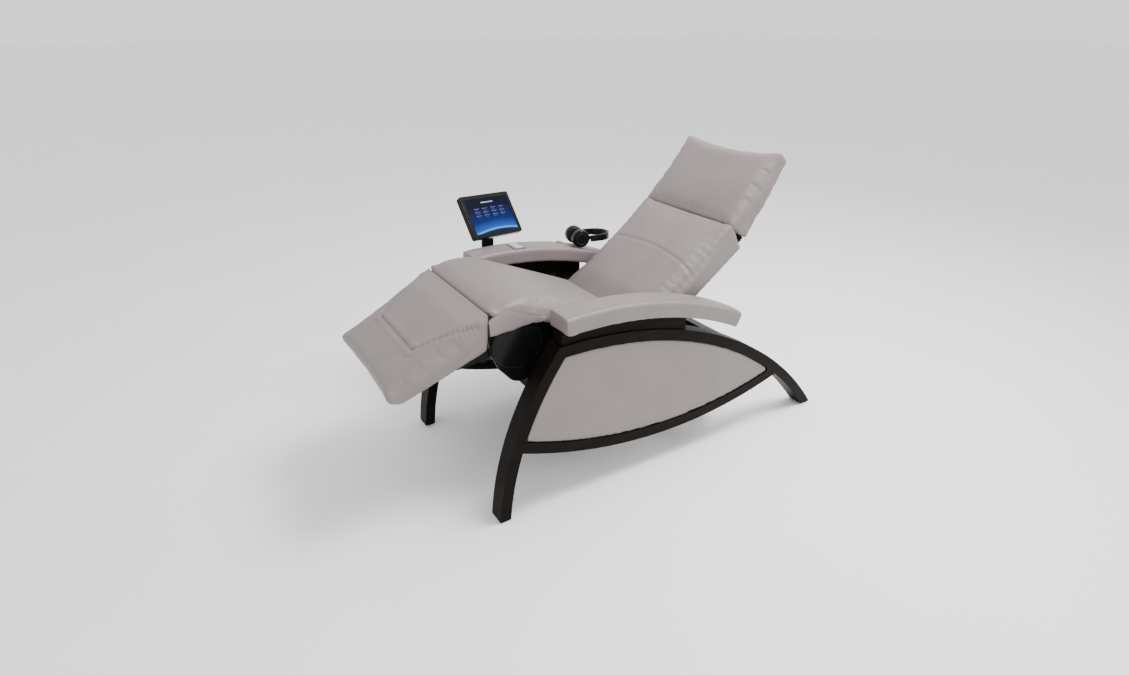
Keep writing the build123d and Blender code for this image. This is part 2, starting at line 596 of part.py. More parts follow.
def build_head():
    """The head rest: a tapered cushion wrapped round a board, hinged at its lower edge."""
    low = 5.0
    slope = degrees(atan2(HEAD_PAD - HEAD_EDGE_PAD, HEAD_LENGTH - low))
    corner = HEAD.from_local_coords(Vector(low, -HEAD_PAD, 0))
    rear = section_plane((corner.Y, corner.Z), HEAD_ANGLE + slope)
    pivot = local(rear, HEAD_HINGE)
    slots = hinge_slots(rear, (-10, -5), (62, pivot[1] + 12))
    with BuildPart() as head_cushion:
        with BuildSketch(HEAD.offset(-BACK_HALF)) as profile:
            Polygon((low, 0), (low, -HEAD_PAD), (HEAD_LENGTH, -HEAD_EDGE_PAD), (HEAD_LENGTH, 0),
                    align=None)
            fillet(profile.vertices().sort_by(Axis.X)[2:4], 18)
        extrude(amount=2 * BACK_HALF)
        with BuildSketch(rear.offset(-BOARD_HALF)):
            box_between((20, 0), (HEAD_LENGTH - 40, PLY))
        extrude(amount=2 * BOARD_HALF, mode=Mode.SUBTRACT)
        add(slots, mode=Mode.SUBTRACT)
    save(head_cushion, "head_cushion")

    with BuildPart() as head_board:
        with BuildSketch(rear.offset(-BOARD_HALF)):
            box_between((20, 0), (HEAD_LENGTH - 40, PLY))
        extrude(amount=2 * BOARD_HALF)
        add(slots, mode=Mode.SUBTRACT)
    save(head_board, "head_board")

    with BuildPart() as head_hinge_leaves:
        for sign in SIDES.values():
            with BuildSketch(across(rear, sign, HEAD_LEAF_X, HEAD_BRACKET)):
                add(lug(pivot, 9, ((28, -3), (52, -3))))
                disc(pivot, HEAD_PIN_R + RUNNING, Mode.SUBTRACT)
            extrude(amount=HEAD_BRACKET)
        with BuildSketch(rear.offset(-BACK_COVER_HALF)):
            box_between((28, -4), (52, 0))
        extrude(amount=2 * BACK_COVER_HALF)
    save(head_hinge_leaves, "head_hinge_leaves")


def build_leg_rest():
    """The leg rest: hinged at the knee, with a hollow end that turns round the seat's front roll."""
    bottom_near, bottom_far = (92.0, -43.0), (403.0, -92.0)
    slope = (bottom_far[1] - bottom_near[1]) / (bottom_far[0] - bottom_near[0])

    def under(s):
        """Depth of the cushion's lower face at a distance s from the knee."""
        return bottom_near[1] + slope * (s - bottom_near[0])

    top = local(LEG, polar(KNEE, LEG_TOP_R, LEG_ANGLE - 90))[1]
    board = ((150, under(150)), (385, under(385)), (385, under(385) - PLY), (150, under(150) - PLY))
    upper, lower = local(LEG, (-711, 712)), local(LEG, (-716, 583))
    with BuildPart() as leg_cushion:
        with BuildSketch(LEG.offset(-LEG_HALF)) as profile:
            Polygon((upper[0], top), upper, lower, bottom_far, (LEG_LENGTH, top + 28),
                    (LEG_LENGTH - 8, top), align=None)
            fillet(profile.vertices().sort_by(Axis.X)[-3:], 12)
        extrude(amount=2 * LEG_HALF)
        with BuildSketch(LEG.offset(-LEG_BOARD_HALF - 1)):
            disc((0, 0), COVE_R)
        extrude(amount=2 * (LEG_BOARD_HALF + 1), mode=Mode.SUBTRACT)
        with BuildSketch(LEG.offset(-LEG_BOARD_HALF)):
            Polygon(*board, align=None)
        extrude(amount=2 * LEG_BOARD_HALF, mode=Mode.SUBTRACT)
    save(leg_cushion, "leg_cushion")

    with BuildPart() as leg_board:
        with BuildSketch(LEG.offset(-LEG_BOARD_HALF)):
            Polygon(*board, align=None)
        extrude(amount=2 * LEG_BOARD_HALF)
    save(leg_board, "leg_board")

    with BuildPart() as leg_frame:
        for sign in SIDES.values():
            with BuildSketch(across(LEG, sign, ARM_PLATE_X, ARM_PLATE)):
                disc((0, 0), 22)
                Polygon((0, -22), (92, -38), (160, under(160)), (215, under(215)),
                        (205, under(205) + 10), (150, under(150) + 26), (0, 22), align=None)
                disc((0, 0), BIG_PIN_R + RUNNING, Mode.SUBTRACT)
            extrude(amount=ARM_PLATE)
        with BuildSketch(LEG.offset(-ARM_PLATE_X)):
            Polygon((160, under(160)), (210, under(210)), (210, under(210) + 5),
                    (160, under(160) + 5), align=None)
            disc((118, -14), 12.5)
        extrude(amount=2 * ARM_PLATE_X)
        add(ear_pair(LEG, LEG_X, LEG_MOVING, ((108, -14), (128, -14))))
    save(leg_frame, "leg_frame")


def build_actuator(name, x, fixed, moving):
    """A linear actuator: a tube with its motor that swings about fixed, and a rod to moving."""
    length = hypot(moving[0] - fixed[0], moving[1] - fixed[1])
    plane = section_plane(fixed, degrees(atan2(moving[1] - fixed[1], moving[0] - fixed[0])))
    start = plane.from_local_coords(Vector(0, 0, x))
    axis_plane = Plane(start, x_dir=(1, 0, 0), z_dir=plane.x_dir)
    side = 1 if (axis_plane.y_dir - plane.y_dir).length < 1 else -1
    tube_end = length - ROD_TRAVEL
    with BuildPart() as tube:
        with BuildSketch(plane.offset(x - 11)):
            disc((0, 0), 14)
            box_between((0, -12), (30, 12))
            disc((0, 0), PIN_R + RUNNING, Mode.SUBTRACT)
        extrude(amount=22)
        with BuildSketch(axis_plane.offset(TUBE_START)):
            Circle(TUBE_R)
        extrude(amount=tube_end - TUBE_START)
        with BuildSketch(axis_plane.offset(40)):
            with Locations((0, side * 2 * TUBE_R)):
                Circle(TUBE_R)
        extrude(amount=90)
        with BuildSketch(axis_plane.offset(60)):
            with Locations((0, side * TUBE_R)):
                Rectangle(24, 30)
        extrude(amount=40)
        with BuildSketch(axis_plane.offset(60)):
            Circle(BORE_R)
        extrude(amount=tube_end, mode=Mode.SUBTRACT)
    save(tube, f"{name}_actuator")

    with BuildPart() as rod:
        with BuildSketch(axis_plane.offset(130)):
            Circle(ROD_R)
        extrude(amount=length - 130 - 12)
        with BuildSketch(plane.offset(x - 10)):
            disc((length, 0), 17)
        extrude(amount=20)
        with BuildSketch(plane.offset(x - 12)):
            disc((length, 0), PIN_R + PIVOT_SLACK)
        extrude(amount=24, mode=Mode.SUBTRACT)
    save(rod, f"{name}_rod")


def build_controls():
    """A bezel with two rockers, and a round dial behind it."""
    panel = Plane(PANEL_ORIGIN)
    axle_origin = panel.from_local_coords(Vector(0, 0, AXLE_Z))
    axle_plane = Plane(axle_origin, x_dir=(0, 1, 0), z_dir=(1, 0, 0))
    half = ROCKER_SIZE[0] / 2 + AXLE_REACH
    with BuildPart() as control_bezel:
        with BuildSketch(panel):
            Rectangle(PANEL_SIZE[0] - 0.4, PANEL_SIZE[1] - 0.4)
        extrude(amount=PANEL_HEIGHT)
        with BuildSketch(panel.offset(1.5)):
            with Locations(*[(x, 0) for x in ROCKER_X.values()]):
                Rectangle(ROCKER_SIZE[0] + 0.8, ROCKER_SIZE[1] + 1.4)
        extrude(amount=PANEL_HEIGHT, mode=Mode.SUBTRACT)
        for x in ROCKER_X.values():
            with BuildSketch(axle_plane.offset(x - half - 0.2)):
                Circle(AXLE_R + RUNNING)
            extrude(amount=2 * half + 0.4, mode=Mode.SUBTRACT)
    save(control_bezel, "control_bezel")

    for name, x in ROCKER_X.items():
        with BuildPart() as rocker:
            with BuildSketch(panel.offset(4.5)):
                with Locations((x, 0)):
                    Rectangle(ROCKER_SIZE[0], ROCKER_SIZE[1])
            extrude(amount=ROCKER_SIZE[2])
            fillet(rocker.faces().sort_by(Axis.Z)[-1].edges(), 1.5)
            with BuildSketch(axle_plane.offset(x - half)):
                Circle(AXLE_R)
            extrude(amount=2 * half)
        save(rocker, name)

    with BuildPart() as dial:
        with BuildSketch(KNOB_PLANE.offset(0.3)):
            Circle(KNOB_R)
        extrude(amount=KNOB_HEIGHT)
        top = dial.faces().sort_by(Axis.Z)[-1]
        fillet(top.edges(), 2)
    save(dial, "intensity_dial")


def tablet_plane():
    """The screen's plane: x to the viewer's right, y up the screen, z out of the glass."""
    yaw, pitch, roll = (radians(v) for v in (TABLET_YAW, TABLET_PITCH, TABLET_ROLL))
    normal = Vector(cos(yaw) * cos(pitch), sin(yaw) * cos(pitch), sin(pitch))
    right = Vector(-sin(yaw), cos(yaw), 0)
    up = normal.cross(right)
    return Plane(origin=TABLET_CENTRE, x_dir=right * cos(roll) + up * sin(roll), z_dir=normal)


def build_tablet():
    """Bracket, swivelling post, tilting holder, case and glass."""
    screen = tablet_plane()
    hinge = screen.to_local_coords(Vector(*TABLET_HINGE))
    with BuildPart() as tablet_bracket:
        with BuildSketch(SIDE.offset(-FRAME_OUTER_X - 5)):
            box_between((STALK_CENTRE[1] - 32, 563), (STALK_CENTRE[1] + 32, 596))
        extrude(amount=5)
        with BuildSketch(Plane.XY.offset(566)):
            box_between((STALK_CENTRE[0] - 17, STALK_CENTRE[1] - 15),
                        (-FRAME_OUTER_X - 5, STALK_CENTRE[1] + 15))
            disc(STALK_CENTRE, 17)
        extrude(amount=24)
        with BuildSketch(Plane.XY.offset(560)):
            disc(STALK_CENTRE, STALK_R + RUNNING)
        extrude(amount=40, mode=Mode.SUBTRACT)
    save(tablet_bracket, "tablet_bracket")

    knuckle = Plane(origin=TABLET_HINGE, x_dir=screen.z_dir, z_dir=screen.x_dir)
    with BuildPart() as tablet_post:
        with BuildSketch(Plane.XY.offset(562)):
            disc(STALK_CENTRE, STALK_R)
        extrude(amount=32)
        with BuildSketch(Plane.XY.offset(591)):
            with Locations(STALK_CENTRE):
                RectangleRounded(*STALK_SECTION, 4)
        extrude(amount=160)
        with BuildSketch(knuckle.offset(-13)):
            Circle(11)
        extrude(amount=26)
        with BuildSketch(Plane.XY.offset(740)):
            with Locations(STALK_CENTRE):
                Rectangle(14, 16)
        extrude(amount=34)
    save(tablet_post, "tablet_post")

    with BuildPart() as tablet_holder:
        rear = -TABLET_SIZE[2]
        with BuildSketch(screen.offset(rear - 14)):
            box_between((-112, -4), (88, 62))
        extrude(amount=14)
        ear_plane = Plane(origin=screen.from_local_coords(Vector(hinge.X, 0, 0)),
                          x_dir=screen.y_dir, z_dir=screen.x_dir)
        centre = ear_plane.to_local_coords(Vector(*TABLET_HINGE))
        for start in (-22, 14):
            with BuildSketch(ear_plane.offset(start)):
                add(lug((centre.X, centre.Y), 11, ((2, rear - 10), (40, rear - 10))))
            extrude(amount=8)
    save(tablet_holder, "tablet_holder")

    width, height, depth = TABLET_SIZE
    with BuildPart() as tablet_case:
        with BuildSketch(screen.offset(-depth)):
            RectangleRounded(width, height, 9)
        extrude(amount=depth)
        fillet(tablet_case.faces().sort_by(Axis(screen.origin, screen.z_dir))[-1].edges(), 3)
        with BuildSketch(screen.offset(-GLASS_DEPTH)):
            Rectangle(width - 2 * GLASS_INSET, height - 2 * GLASS_INSET)
        extrude(amount=5, mode=Mode.SUBTRACT)
    save(tablet_case, "tablet_case")

    with BuildPart() as tablet_screen:
        with BuildSketch(screen.offset(-GLASS_DEPTH)):
            Rectangle(width - 2 * GLASS_INSET - 0.4, height - 2 * GLASS_INSET - 0.4)
        extrude(amount=1.5)
    save(tablet_screen, "tablet_screen")


def build_headphones():
    """A sprung band with two ear cups that swivel on pins."""
    arm_y = CUP_R + 3
    with BuildPart() as headband:
        with BuildSketch(HEADSET.offset(-BAND_WIDTH / 2)):
            disc((0, BAND_STRAIGHT), BAND_R + BAND_THICKNESS / 2)
            disc((0, BAND_STRAIGHT), BAND_R - BAND_THICKNESS / 2, Mode.SUBTRACT)
            box_between((-100, BAND_STRAIGHT - 200), (100, BAND_STRAIGHT), Mode.SUBTRACT)
            for x in (-BAND_R, BAND_R):
                box_between((x - 4, arm_y), (x + 4, BAND_STRAIGHT))
        extrude(amount=BAND_WIDTH)
        with BuildSketch(HEADSET.offset(-7)):
            for x in CUP_X.values():
                outer = BAND_R if x > 0 else -BAND_R
                box_between((min(x, outer) - 4, arm_y), (max(x, outer) + 4, arm_y + 9))
        extrude(amount=14)
        pin_plane = Plane(HEADSET.from_local_coords(Vector(0, arm_y + 1, 0)),
                          x_dir=HEADSET.x_dir, z_dir=-HEADSET.y_dir)
        with BuildSketch(pin_plane):
            with Locations(*[(x, 0) for x in CUP_X.values()]):
                Circle(SWIVEL_R)
        extrude(amount=4 + SWIVEL_DEPTH - 1)
    save(headband, "headband")

    for name, x in CUP_X.items():
        start = HEADSET.from_local_coords(Vector(x - CUP_DEPTH / 2, 0, 0))
        rim = HEADSET.from_local_coords(Vector(x, CUP_R + 1, 0))
        with BuildPart() as cup:
            with BuildSketch(Plane(start, x_dir=HEADSET.y_dir, z_dir=HEADSET.x_dir)):
                Circle(CUP_R)
            extrude(amount=CUP_DEPTH)
            fillet(cup.edges().filter_by(GeomType.CIRCLE), 9)
            with BuildSketch(Plane(rim, x_dir=HEADSET.x_dir, z_dir=-HEADSET.y_dir)):
                Circle(SWIVEL_R + RUNNING)
            extrude(amount=1 + SWIVEL_DEPTH, mode=Mode.SUBTRACT)
        save(cup, name)


for side_name, side_sign in SIDES.items():
    build_side(side_name, side_sign)
build_frame_pairs()
build_crosspieces()
build_posts()
build_electrics()
build_seat_frame()
build_seat()
build_knee_covers()
build_back()
build_head()
build_leg_rest()
build_actuator("tilt", TILT_X, TILT_FIXED, TILT_MOVING)
build_actuator("back", BACK_X, BACK_FIXED, BACK_MOVING)
build_actuator("leg", LEG_X, LEG_FIXED, LEG_MOVING)
build_controls()
build_tablet()
build_headphones()
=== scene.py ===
"""The look of the massage chair: sewn leather cushions, stained bentwood, black steel and plastics.

Metres, in the part's own frame: +X the sitter's left, +Y towards the head end, +Z up.
"""

import itertools
import json
from math import cos, pi, radians, sin, sqrt

import bmesh
import bpy
import numpy as np
from mathutils import Matrix, Vector
from mathutils.bvhtree import BVHTree


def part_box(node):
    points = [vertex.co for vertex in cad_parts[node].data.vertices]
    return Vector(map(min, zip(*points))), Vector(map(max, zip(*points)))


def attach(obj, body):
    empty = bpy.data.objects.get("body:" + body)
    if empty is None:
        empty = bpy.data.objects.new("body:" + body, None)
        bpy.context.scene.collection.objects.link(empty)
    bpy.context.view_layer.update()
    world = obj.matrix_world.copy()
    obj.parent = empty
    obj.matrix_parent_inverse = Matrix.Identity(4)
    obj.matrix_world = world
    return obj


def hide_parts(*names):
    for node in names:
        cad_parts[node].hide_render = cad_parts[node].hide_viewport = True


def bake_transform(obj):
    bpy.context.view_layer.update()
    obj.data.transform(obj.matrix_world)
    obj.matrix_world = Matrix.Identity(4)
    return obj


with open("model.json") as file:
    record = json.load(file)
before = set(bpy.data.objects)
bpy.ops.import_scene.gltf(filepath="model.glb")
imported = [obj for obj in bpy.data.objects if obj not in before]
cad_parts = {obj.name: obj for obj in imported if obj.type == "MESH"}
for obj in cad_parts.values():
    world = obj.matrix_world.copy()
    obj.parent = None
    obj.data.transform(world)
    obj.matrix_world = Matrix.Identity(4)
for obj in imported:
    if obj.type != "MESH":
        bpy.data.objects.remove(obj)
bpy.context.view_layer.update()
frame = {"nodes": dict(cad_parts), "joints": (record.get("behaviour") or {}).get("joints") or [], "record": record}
NODES = frame["nodes"]
JOINTS = {j["name"]: j for j in frame["joints"]}

# --- driving sizes ---
SIDES = (("left", 1), ("right", -1))  # +1 where the side's outer face looks along +X
# How the cushions lean in the side view, in degrees from +Y towards +Z.
SEAT_ANGLE, BACK_ANGLE, HEAD_ANGLE, LEG_ANGLE = -22.5, 36.7, 49.0, 209.2
CREST_R, SEAT_LENGTH, BACK_LENGTH = 0.150, 0.483, 0.494  # knee crest radius, cushion lengths
CUSHION_HALF = 0.262  # half width of the swollen back and head cushions
LEG_TOP = -0.152  # the leg rest's top surface, in its own section
STITCH, THREAD = 0.0062, 0.0006  # length of a stitch with its gap, radius of the thread
STITCH_FILL = 0.62  # the share of that length that is thread
THREAD_START, THREAD_REACH = 0.06, 0.14  # where a stitch starts above the leather, how far it looks
PUCKER_PITCH = 0.017  # between the puckers beside a seam
ARM_CENTRE, ARM_R = (-0.401, -0.766), 1.466  # the armrest's top arc in the side view
LINING_STEPS, LINING_PITCH = 61, 0.0079
PLEATS, BELLOWS_HALF, BELLOWS_LENGTH = 11, 0.236, 0.018
SOFT_EDGES = {"wood": 0.0016, "steel": 0.0006, "black_plastic": 0.0006}  # bevel by slot
SOFT_ANGLE, SPLIT_ANGLE = 50, 32  # sharper edges are bevelled, and shaded as edges
BAND_STRAIGHT, BAND_R = 0.078, 0.060  # headband: length of its straight arms and radius of its bend
BAND_INSET = 0.0055  # the sleeve's core lies this far inside the band's outer radius
# The lower edge of the leather that falls over each knee cover: (s, t) in the seat's section.
FALL_EDGE = [(-0.107, -0.145), (-0.085, -0.138), (-0.061, -0.124), (-0.029, -0.109),
             (-0.009, -0.094), (0.017, -0.082), (0.044, -0.071), (0.075, -0.064)]
# A fall's cross-section, out and back: (0 at its top to 1 at its edge, x).
FALL_RING = [(0.0, 0.2540), (0.2, 0.2608), (0.45, 0.2626), (0.75, 0.2632), (0.93, 0.2628),
             (1.0, 0.2612), (0.97, 0.2600), (0.75, 0.2596), (0.45, 0.2594), (0.2, 0.2575),
             (0.0, 0.2510)]

# --- simulation ---
VOXEL = 0.0065
ARM_VOXEL = 0.0045
SIM_FRAMES = 16

# --- studio ---
FLOOR_SIZE = 120
WORLD_STRENGTH = 1.3
LIGHTS = [  # name, place, size, watts
    ("key", (0.8, 0.8, 3.1), 1.1, 125),
    ("side", (3.2, -0.2, 2.4), 1.0, 9),
    ("back", (-0.5, 3.0, 2.8), 1.6, 30),
]
LIGHT_TARGET = (0, -0.1, 0.5)
CAMERA_PLACE = (1.9469, -1.4787, 1.5186)
CAMERA_TILT, CAMERA_TURN = 64.117, 58.547
CAMERA_LENS, SENSOR_WIDTH = 21.0, 36.0
CAMERA_SHIFT = (0.0012, 0.0018)


def flat(point):
    """The (y, z) of a point in the frame, as an array."""
    return np.array([point[1], point[2]])


def turned(angle):
    """Unit vector at that many degrees from +Y towards +Z."""
    return np.array([cos(radians(angle)), sin(radians(angle))])


KNEE = flat(JOINTS["leg_rest_swing"]["pos_m"])
HEAD_HINGE = flat(JOINTS["head_tilt"]["pos_m"])


def knee_angle(p):
    """Degrees from +Y towards +Z at which points lie round the knee."""
    q = p[:, 1:] - KNEE
    return np.degrees(np.arctan2(q[:, 1], q[:, 0]))


class Section:
    """A cushion's own plane in the side view: s along it, t out of its surface."""

    def __init__(self, origin, angle):
        self.origin, self.along, self.out = np.array(origin), turned(angle), turned(angle + 90)

    def st(self, p):
        """The s and t of points."""
        q = p[:, 1:] - self.origin
        return q @ self.along, q @ self.out

    def point(self, x, s, t):
        """The point in the frame at x, s, t."""
        y, z = self.origin + s * self.along + t * self.out
        return Vector((x, y, z))

    @property
    def normal(self):
        """The surface's outward direction."""
        return Vector((0, *self.out))


CREST = KNEE + CREST_R * turned(SEAT_ANGLE + 90)
CREASE = CREST + SEAT_LENGTH * turned(SEAT_ANGLE)
SEAT = Section(CREST, SEAT_ANGLE)
BACK = Section(CREASE, BACK_ANGLE)
HEAD = Section(CREASE + BACK_LENGTH * turned(BACK_ANGLE), HEAD_ANGLE)
LEG = Section(KNEE, LEG_ANGLE)


# --- numpy helpers ---
def noise(p, size, seed):
    """Smooth value noise between -1 and 1 at points p, with features of about that size."""
    q = p / np.asarray(size, float) + seed * 17.31
    cell = np.floor(q).astype(np.int64)
    f = q - cell
    f = f * f * (3 - 2 * f)
    total = np.zeros(len(p))
    for corner in itertools.product((0, 1), repeat=3):
        h = (cell + corner) @ np.array((73856093, 19349663, 83492791)) + seed * 2654435
        h = ((h ^ (h >> 13)) * 1274126177) & 0x7FFFFFFF
        weight = np.prod(np.where(corner, f, 1 - f), axis=1)
        total += weight * ((h >> 8 & 0xFFFF) / 32767.5 - 1)
    return total


def creases(places, p, seed):
    """Creases across places (cells of size 1), strong in some stretches and faint in others."""
    q = np.column_stack([*places, np.zeros(len(p))])
    fine = noise(q, 1.0, seed) + 0.5 * noise(q * 1.9, 1.0, seed + 1)
    return fine * (0.15 + step(noise(p, 0.13, seed + 2), -0.1, 0.6))


def bump(d, width):
    """A smooth bump of height 1 at d = 0."""
    return np.exp(-((d / width) ** 2))


def step(x, low, high):
    """0 below low, 1 above high, smooth between."""
    t = np.clip((x - low) / (high - low), 0, 1)
    return t * t * (3 - 2 * t)


def coords(mesh):
    """A mesh's vertices as an array."""
    co = np.empty(len(mesh.vertices) * 3)
    mesh.vertices.foreach_get("co", co)
    return co.reshape(-1, 3)


def normals(mesh):
    """A mesh's vertex normals as an array."""
    n = np.empty(len(mesh.vertices) * 3, np.float32)
    mesh.vertex_normals.foreach_get("vector", n)
    return n.reshape(-1, 3).astype(float)


def move(mesh, co):
    """Gives a mesh new vertex places."""
    mesh.vertices.foreach_set("co", co.ravel())
    mesh.update()


def distance(points, path):
    """Distance of 2-D points from a polyline, and how far along it the nearest place is."""
    best = np.full(len(points), 1e9)
    along = np.zeros(len(points))
    run = 0.0
    for a, b in zip(path[:-1], path[1:]):
        a, b = np.array(a), np.array(b)
        length = np.linalg.norm(b - a)
        u = np.clip((points - a) @ (b - a) / length**2, 0, 1)
        d = np.linalg.norm(points - a - u[:, None] * (b - a), axis=1)
        along = np.where(d < best, run + u * length, along)
        best = np.minimum(best, d)
        run += length
    return best, along


# --- materials ---
class Shader:
    """A Principled material and the nodes that feed it."""

    def __init__(self, name, color, roughness, **sockets):
        self.material = bpy.data.materials.new(name)
        self.material.use_nodes = True
        self.tree = self.material.node_tree
        self.principled = self.tree.nodes["Principled BSDF"]
        self.principled.inputs["Base Color"].default_value = (*color, 1)
        self.principled.inputs["Roughness"].default_value = roughness
        for key, value in sockets.items():
            self.principled.inputs[key.replace("_", " ")].default_value = value
        self.coordinates = self.node("ShaderNodeTexCoord").outputs["Object"]

    def node(self, kind, **settings):
        """A new node with its properties or input sockets set."""
        node = self.tree.nodes.new(kind)
        for key, value in settings.items():
            if hasattr(node, key):
                setattr(node, key, value)
            else:
                node.inputs[key.replace("_", " ")].default_value = value
        return node

    def link(self, source, target):
        """Joins an output socket to an input socket."""
        self.tree.links.new(source, target)

    def stretched(self, scale):
        """Object coordinates, scaled."""
        mapping = self.node("ShaderNodeMapping")
        mapping.inputs["Scale"].default_value = scale
        self.link(self.coordinates, mapping.inputs["Vector"])
        return mapping.outputs["Vector"]

    def noise(self, scale, detail, vector=None):
        """A noise texture's value."""
        node = self.node("ShaderNodeTexNoise", Scale=scale, Detail=detail)
        self.link(vector or self.coordinates, node.inputs["Vector"])
        return node.outputs["Fac"]

    def cells(self, scale, feature):
        """A voronoi texture's distance."""
        node = self.node("ShaderNodeTexVoronoi", feature=feature, Scale=scale)
        self.link(self.coordinates, node.inputs["Vector"])
        return node.outputs["Distance"]

    def ramp(self, value, stops):
        """A colour ramp: stops are (position, colour)."""
        node = self.node("ShaderNodeValToRGB")
        while len(node.color_ramp.elements) < len(stops):
            node.color_ramp.elements.new(0.5)
        for element, (place, color) in zip(node.color_ramp.elements, stops):
            element.position = place
            element.color = (*color, 1)
        self.link(value, node.inputs["Fac"])
        return node.outputs["Color"]

    def bumps(self, *layers):
        """Stacked bump nodes: each layer is (value, strength, distance)."""
        normal = None
        for value, strength, reach in layers:
            node = self.node("ShaderNodeBump", Strength=strength, Distance=reach)
            self.link(value, node.inputs["Height"])
            if normal:
                self.link(normal, node.inputs["Normal"])
            normal = node.outputs["Normal"]
        self.link(normal, self.principled.inputs["Normal"])

    def ranged(self, value, low, high):
        """A value mapped from low..high to 0..1."""
        node = self.node("ShaderNodeMapRange")
        node.inputs["From Min"].default_value = low
        node.inputs["From Max"].default_value = high
        self.link(value, node.inputs["Value"])
        return node.outputs["Result"]

    def span(self, value, low, high, socket):
        """Feeds a socket with value, mapped from 0..1 to low..high."""
        node = self.node("ShaderNodeMapRange")
        node.inputs["To Min"].default_value = low
        node.inputs["To Max"].default_value = high
        self.link(value, node.inputs["Value"])
        self.link(node.outputs["Result"], self.principled.inputs[socket])


def leather_material():
    """Taupe-grey leather: pebbled grain, faint mottling, a soft sheen."""
    shader = Shader("leather", (0.25, 0.222, 0.216), 0.42, Specular_IOR_Level=0.5)
    mottle = shader.noise(9, 5)
    shader.link(
        shader.ramp(mottle, [(0.25, (0.174, 0.145, 0.142)), (0.55, (0.190, 0.159, 0.156)),
                             (0.85, (0.204, 0.172, 0.169))]),
        shader.principled.inputs["Base Color"])
    shader.span(shader.noise(38, 3), 0.44, 0.56, "Roughness")
    pebbles = shader.cells(620, "DISTANCE_TO_EDGE")
    shader.bumps((shader.noise(26, 3), 0.10, 0.004), (pebbles, 0.16, 0.0006),
                 (shader.noise(1500, 2), 0.10, 0.0003))
    return shader.material


def wood_material(name, dark, light, roughness, grain_axis):
    """Stained wood with long grain, under a satin lacquer."""
    shader = Shader(name, dark, roughness, Specular_IOR_Level=0.05)
    scale = [55.0, 55.0, 55.0]
    scale[grain_axis] = 2.2
    vector = shader.stretched(scale)
    fibres = shader.noise(1.6, 8, vector)
    shader.link(shader.ramp(fibres, [(0.3, dark), (0.75, light)]),
                shader.principled.inputs["Base Color"])
    shader.span(shader.noise(3.0, 3, vector), roughness - 0.06, roughness + 0.10, "Roughness")
    shader.bumps((fibres, 0.12, 0.0006), (shader.noise(300, 2), 0.05, 0.0002))
    return shader.material


def ply_material():
    """Brown plywood with layers along its edge."""
    shader = Shader("plywood", (0.05, 0.035, 0.022), 0.65, Specular_IOR_Level=0.2)
    wave = shader.node("ShaderNodeTexWave", Scale=70, Distortion=0.6, Detail=2)
    shader.link(shader.coordinates, wave.inputs["Vector"])
    stops = [(0.2, (0.030, 0.020, 0.012)), (0.7, (0.065, 0.045, 0.027))]
    shader.link(shader.ramp(wave.outputs["Fac"], stops), shader.principled.inputs["Base Color"])
    shader.bumps((shader.noise(160, 5), 0.2, 0.0006))
    return shader.material


def grained(name, low, high, roughness, scale, strength, **sockets):
    """A moulded, painted or cast finish: fine grain in colour, gloss and relief."""
    shader = Shader(name, low, roughness, **sockets)
    shader.link(shader.ramp(shader.noise(24, 4), [(0.3, low), (0.7, high)]),
                shader.principled.inputs["Base Color"])
    shader.span(shader.noise(60, 3), max(roughness - 0.07, 0.03), roughness + 0.08, "Roughness")
    shader.bumps((shader.noise(scale, 3), strength, 0.0004))
    return shader.material


def brushed_material():
    """Steel rod, polished along its length."""
    shader = Shader("rod_steel", (0.55, 0.55, 0.56), 0.25, Metallic=1.0)
    lines = shader.noise(1.0, 3, shader.stretched((1800, 40, 1800)))
    shader.link(shader.ramp(lines, [(0.3, (0.42, 0.42, 0.43)), (0.7, (0.62, 0.62, 0.63))]),
                shader.principled.inputs["Base Color"])
    shader.span(lines, 0.18, 0.36, "Roughness")
    shader.bumps((lines, 0.15, 0.0002))
    return shader.material


def cloth_material(name, low, high):
    """A plain weave."""
    shader = Shader(name, low, 0.9, Specular_IOR_Level=0.05)
    warp = shader.node("ShaderNodeTexWave", Scale=420, Distortion=0.3)
    warp.bands_direction = "X"
    weft = shader.node("ShaderNodeTexWave", Scale=420, Distortion=0.3)
    weft.bands_direction = "Y"
    for wave in (warp, weft):
        shader.link(shader.coordinates, wave.inputs["Vector"])
    shader.link(shader.ramp(shader.noise(40, 4), [(0.3, low), (0.7, high)]),
                shader.principled.inputs["Base Color"])
    shader.bumps((warp.outputs["Fac"], 0.3, 0.0004), (weft.outputs["Fac"], 0.3, 0.0004),
                 (shader.noise(25, 3), 0.25, 0.004))
    return shader.material


def lit_material(name, color, strength):
    """A lit mark on the screen, with faint unevenness."""
    shader = Shader(name, (0.01, 0.01, 0.02), 0.3)
    dimmer = tuple(0.8 * c for c in color)
    glow = shader.ramp(shader.noise(300, 2), [(0.3, dimmer), (0.7, color)])
    shader.link(glow, shader.principled.inputs["Emission Color"])
    shader.principled.inputs["Emission Strength"].default_value = strength
    return shader.material


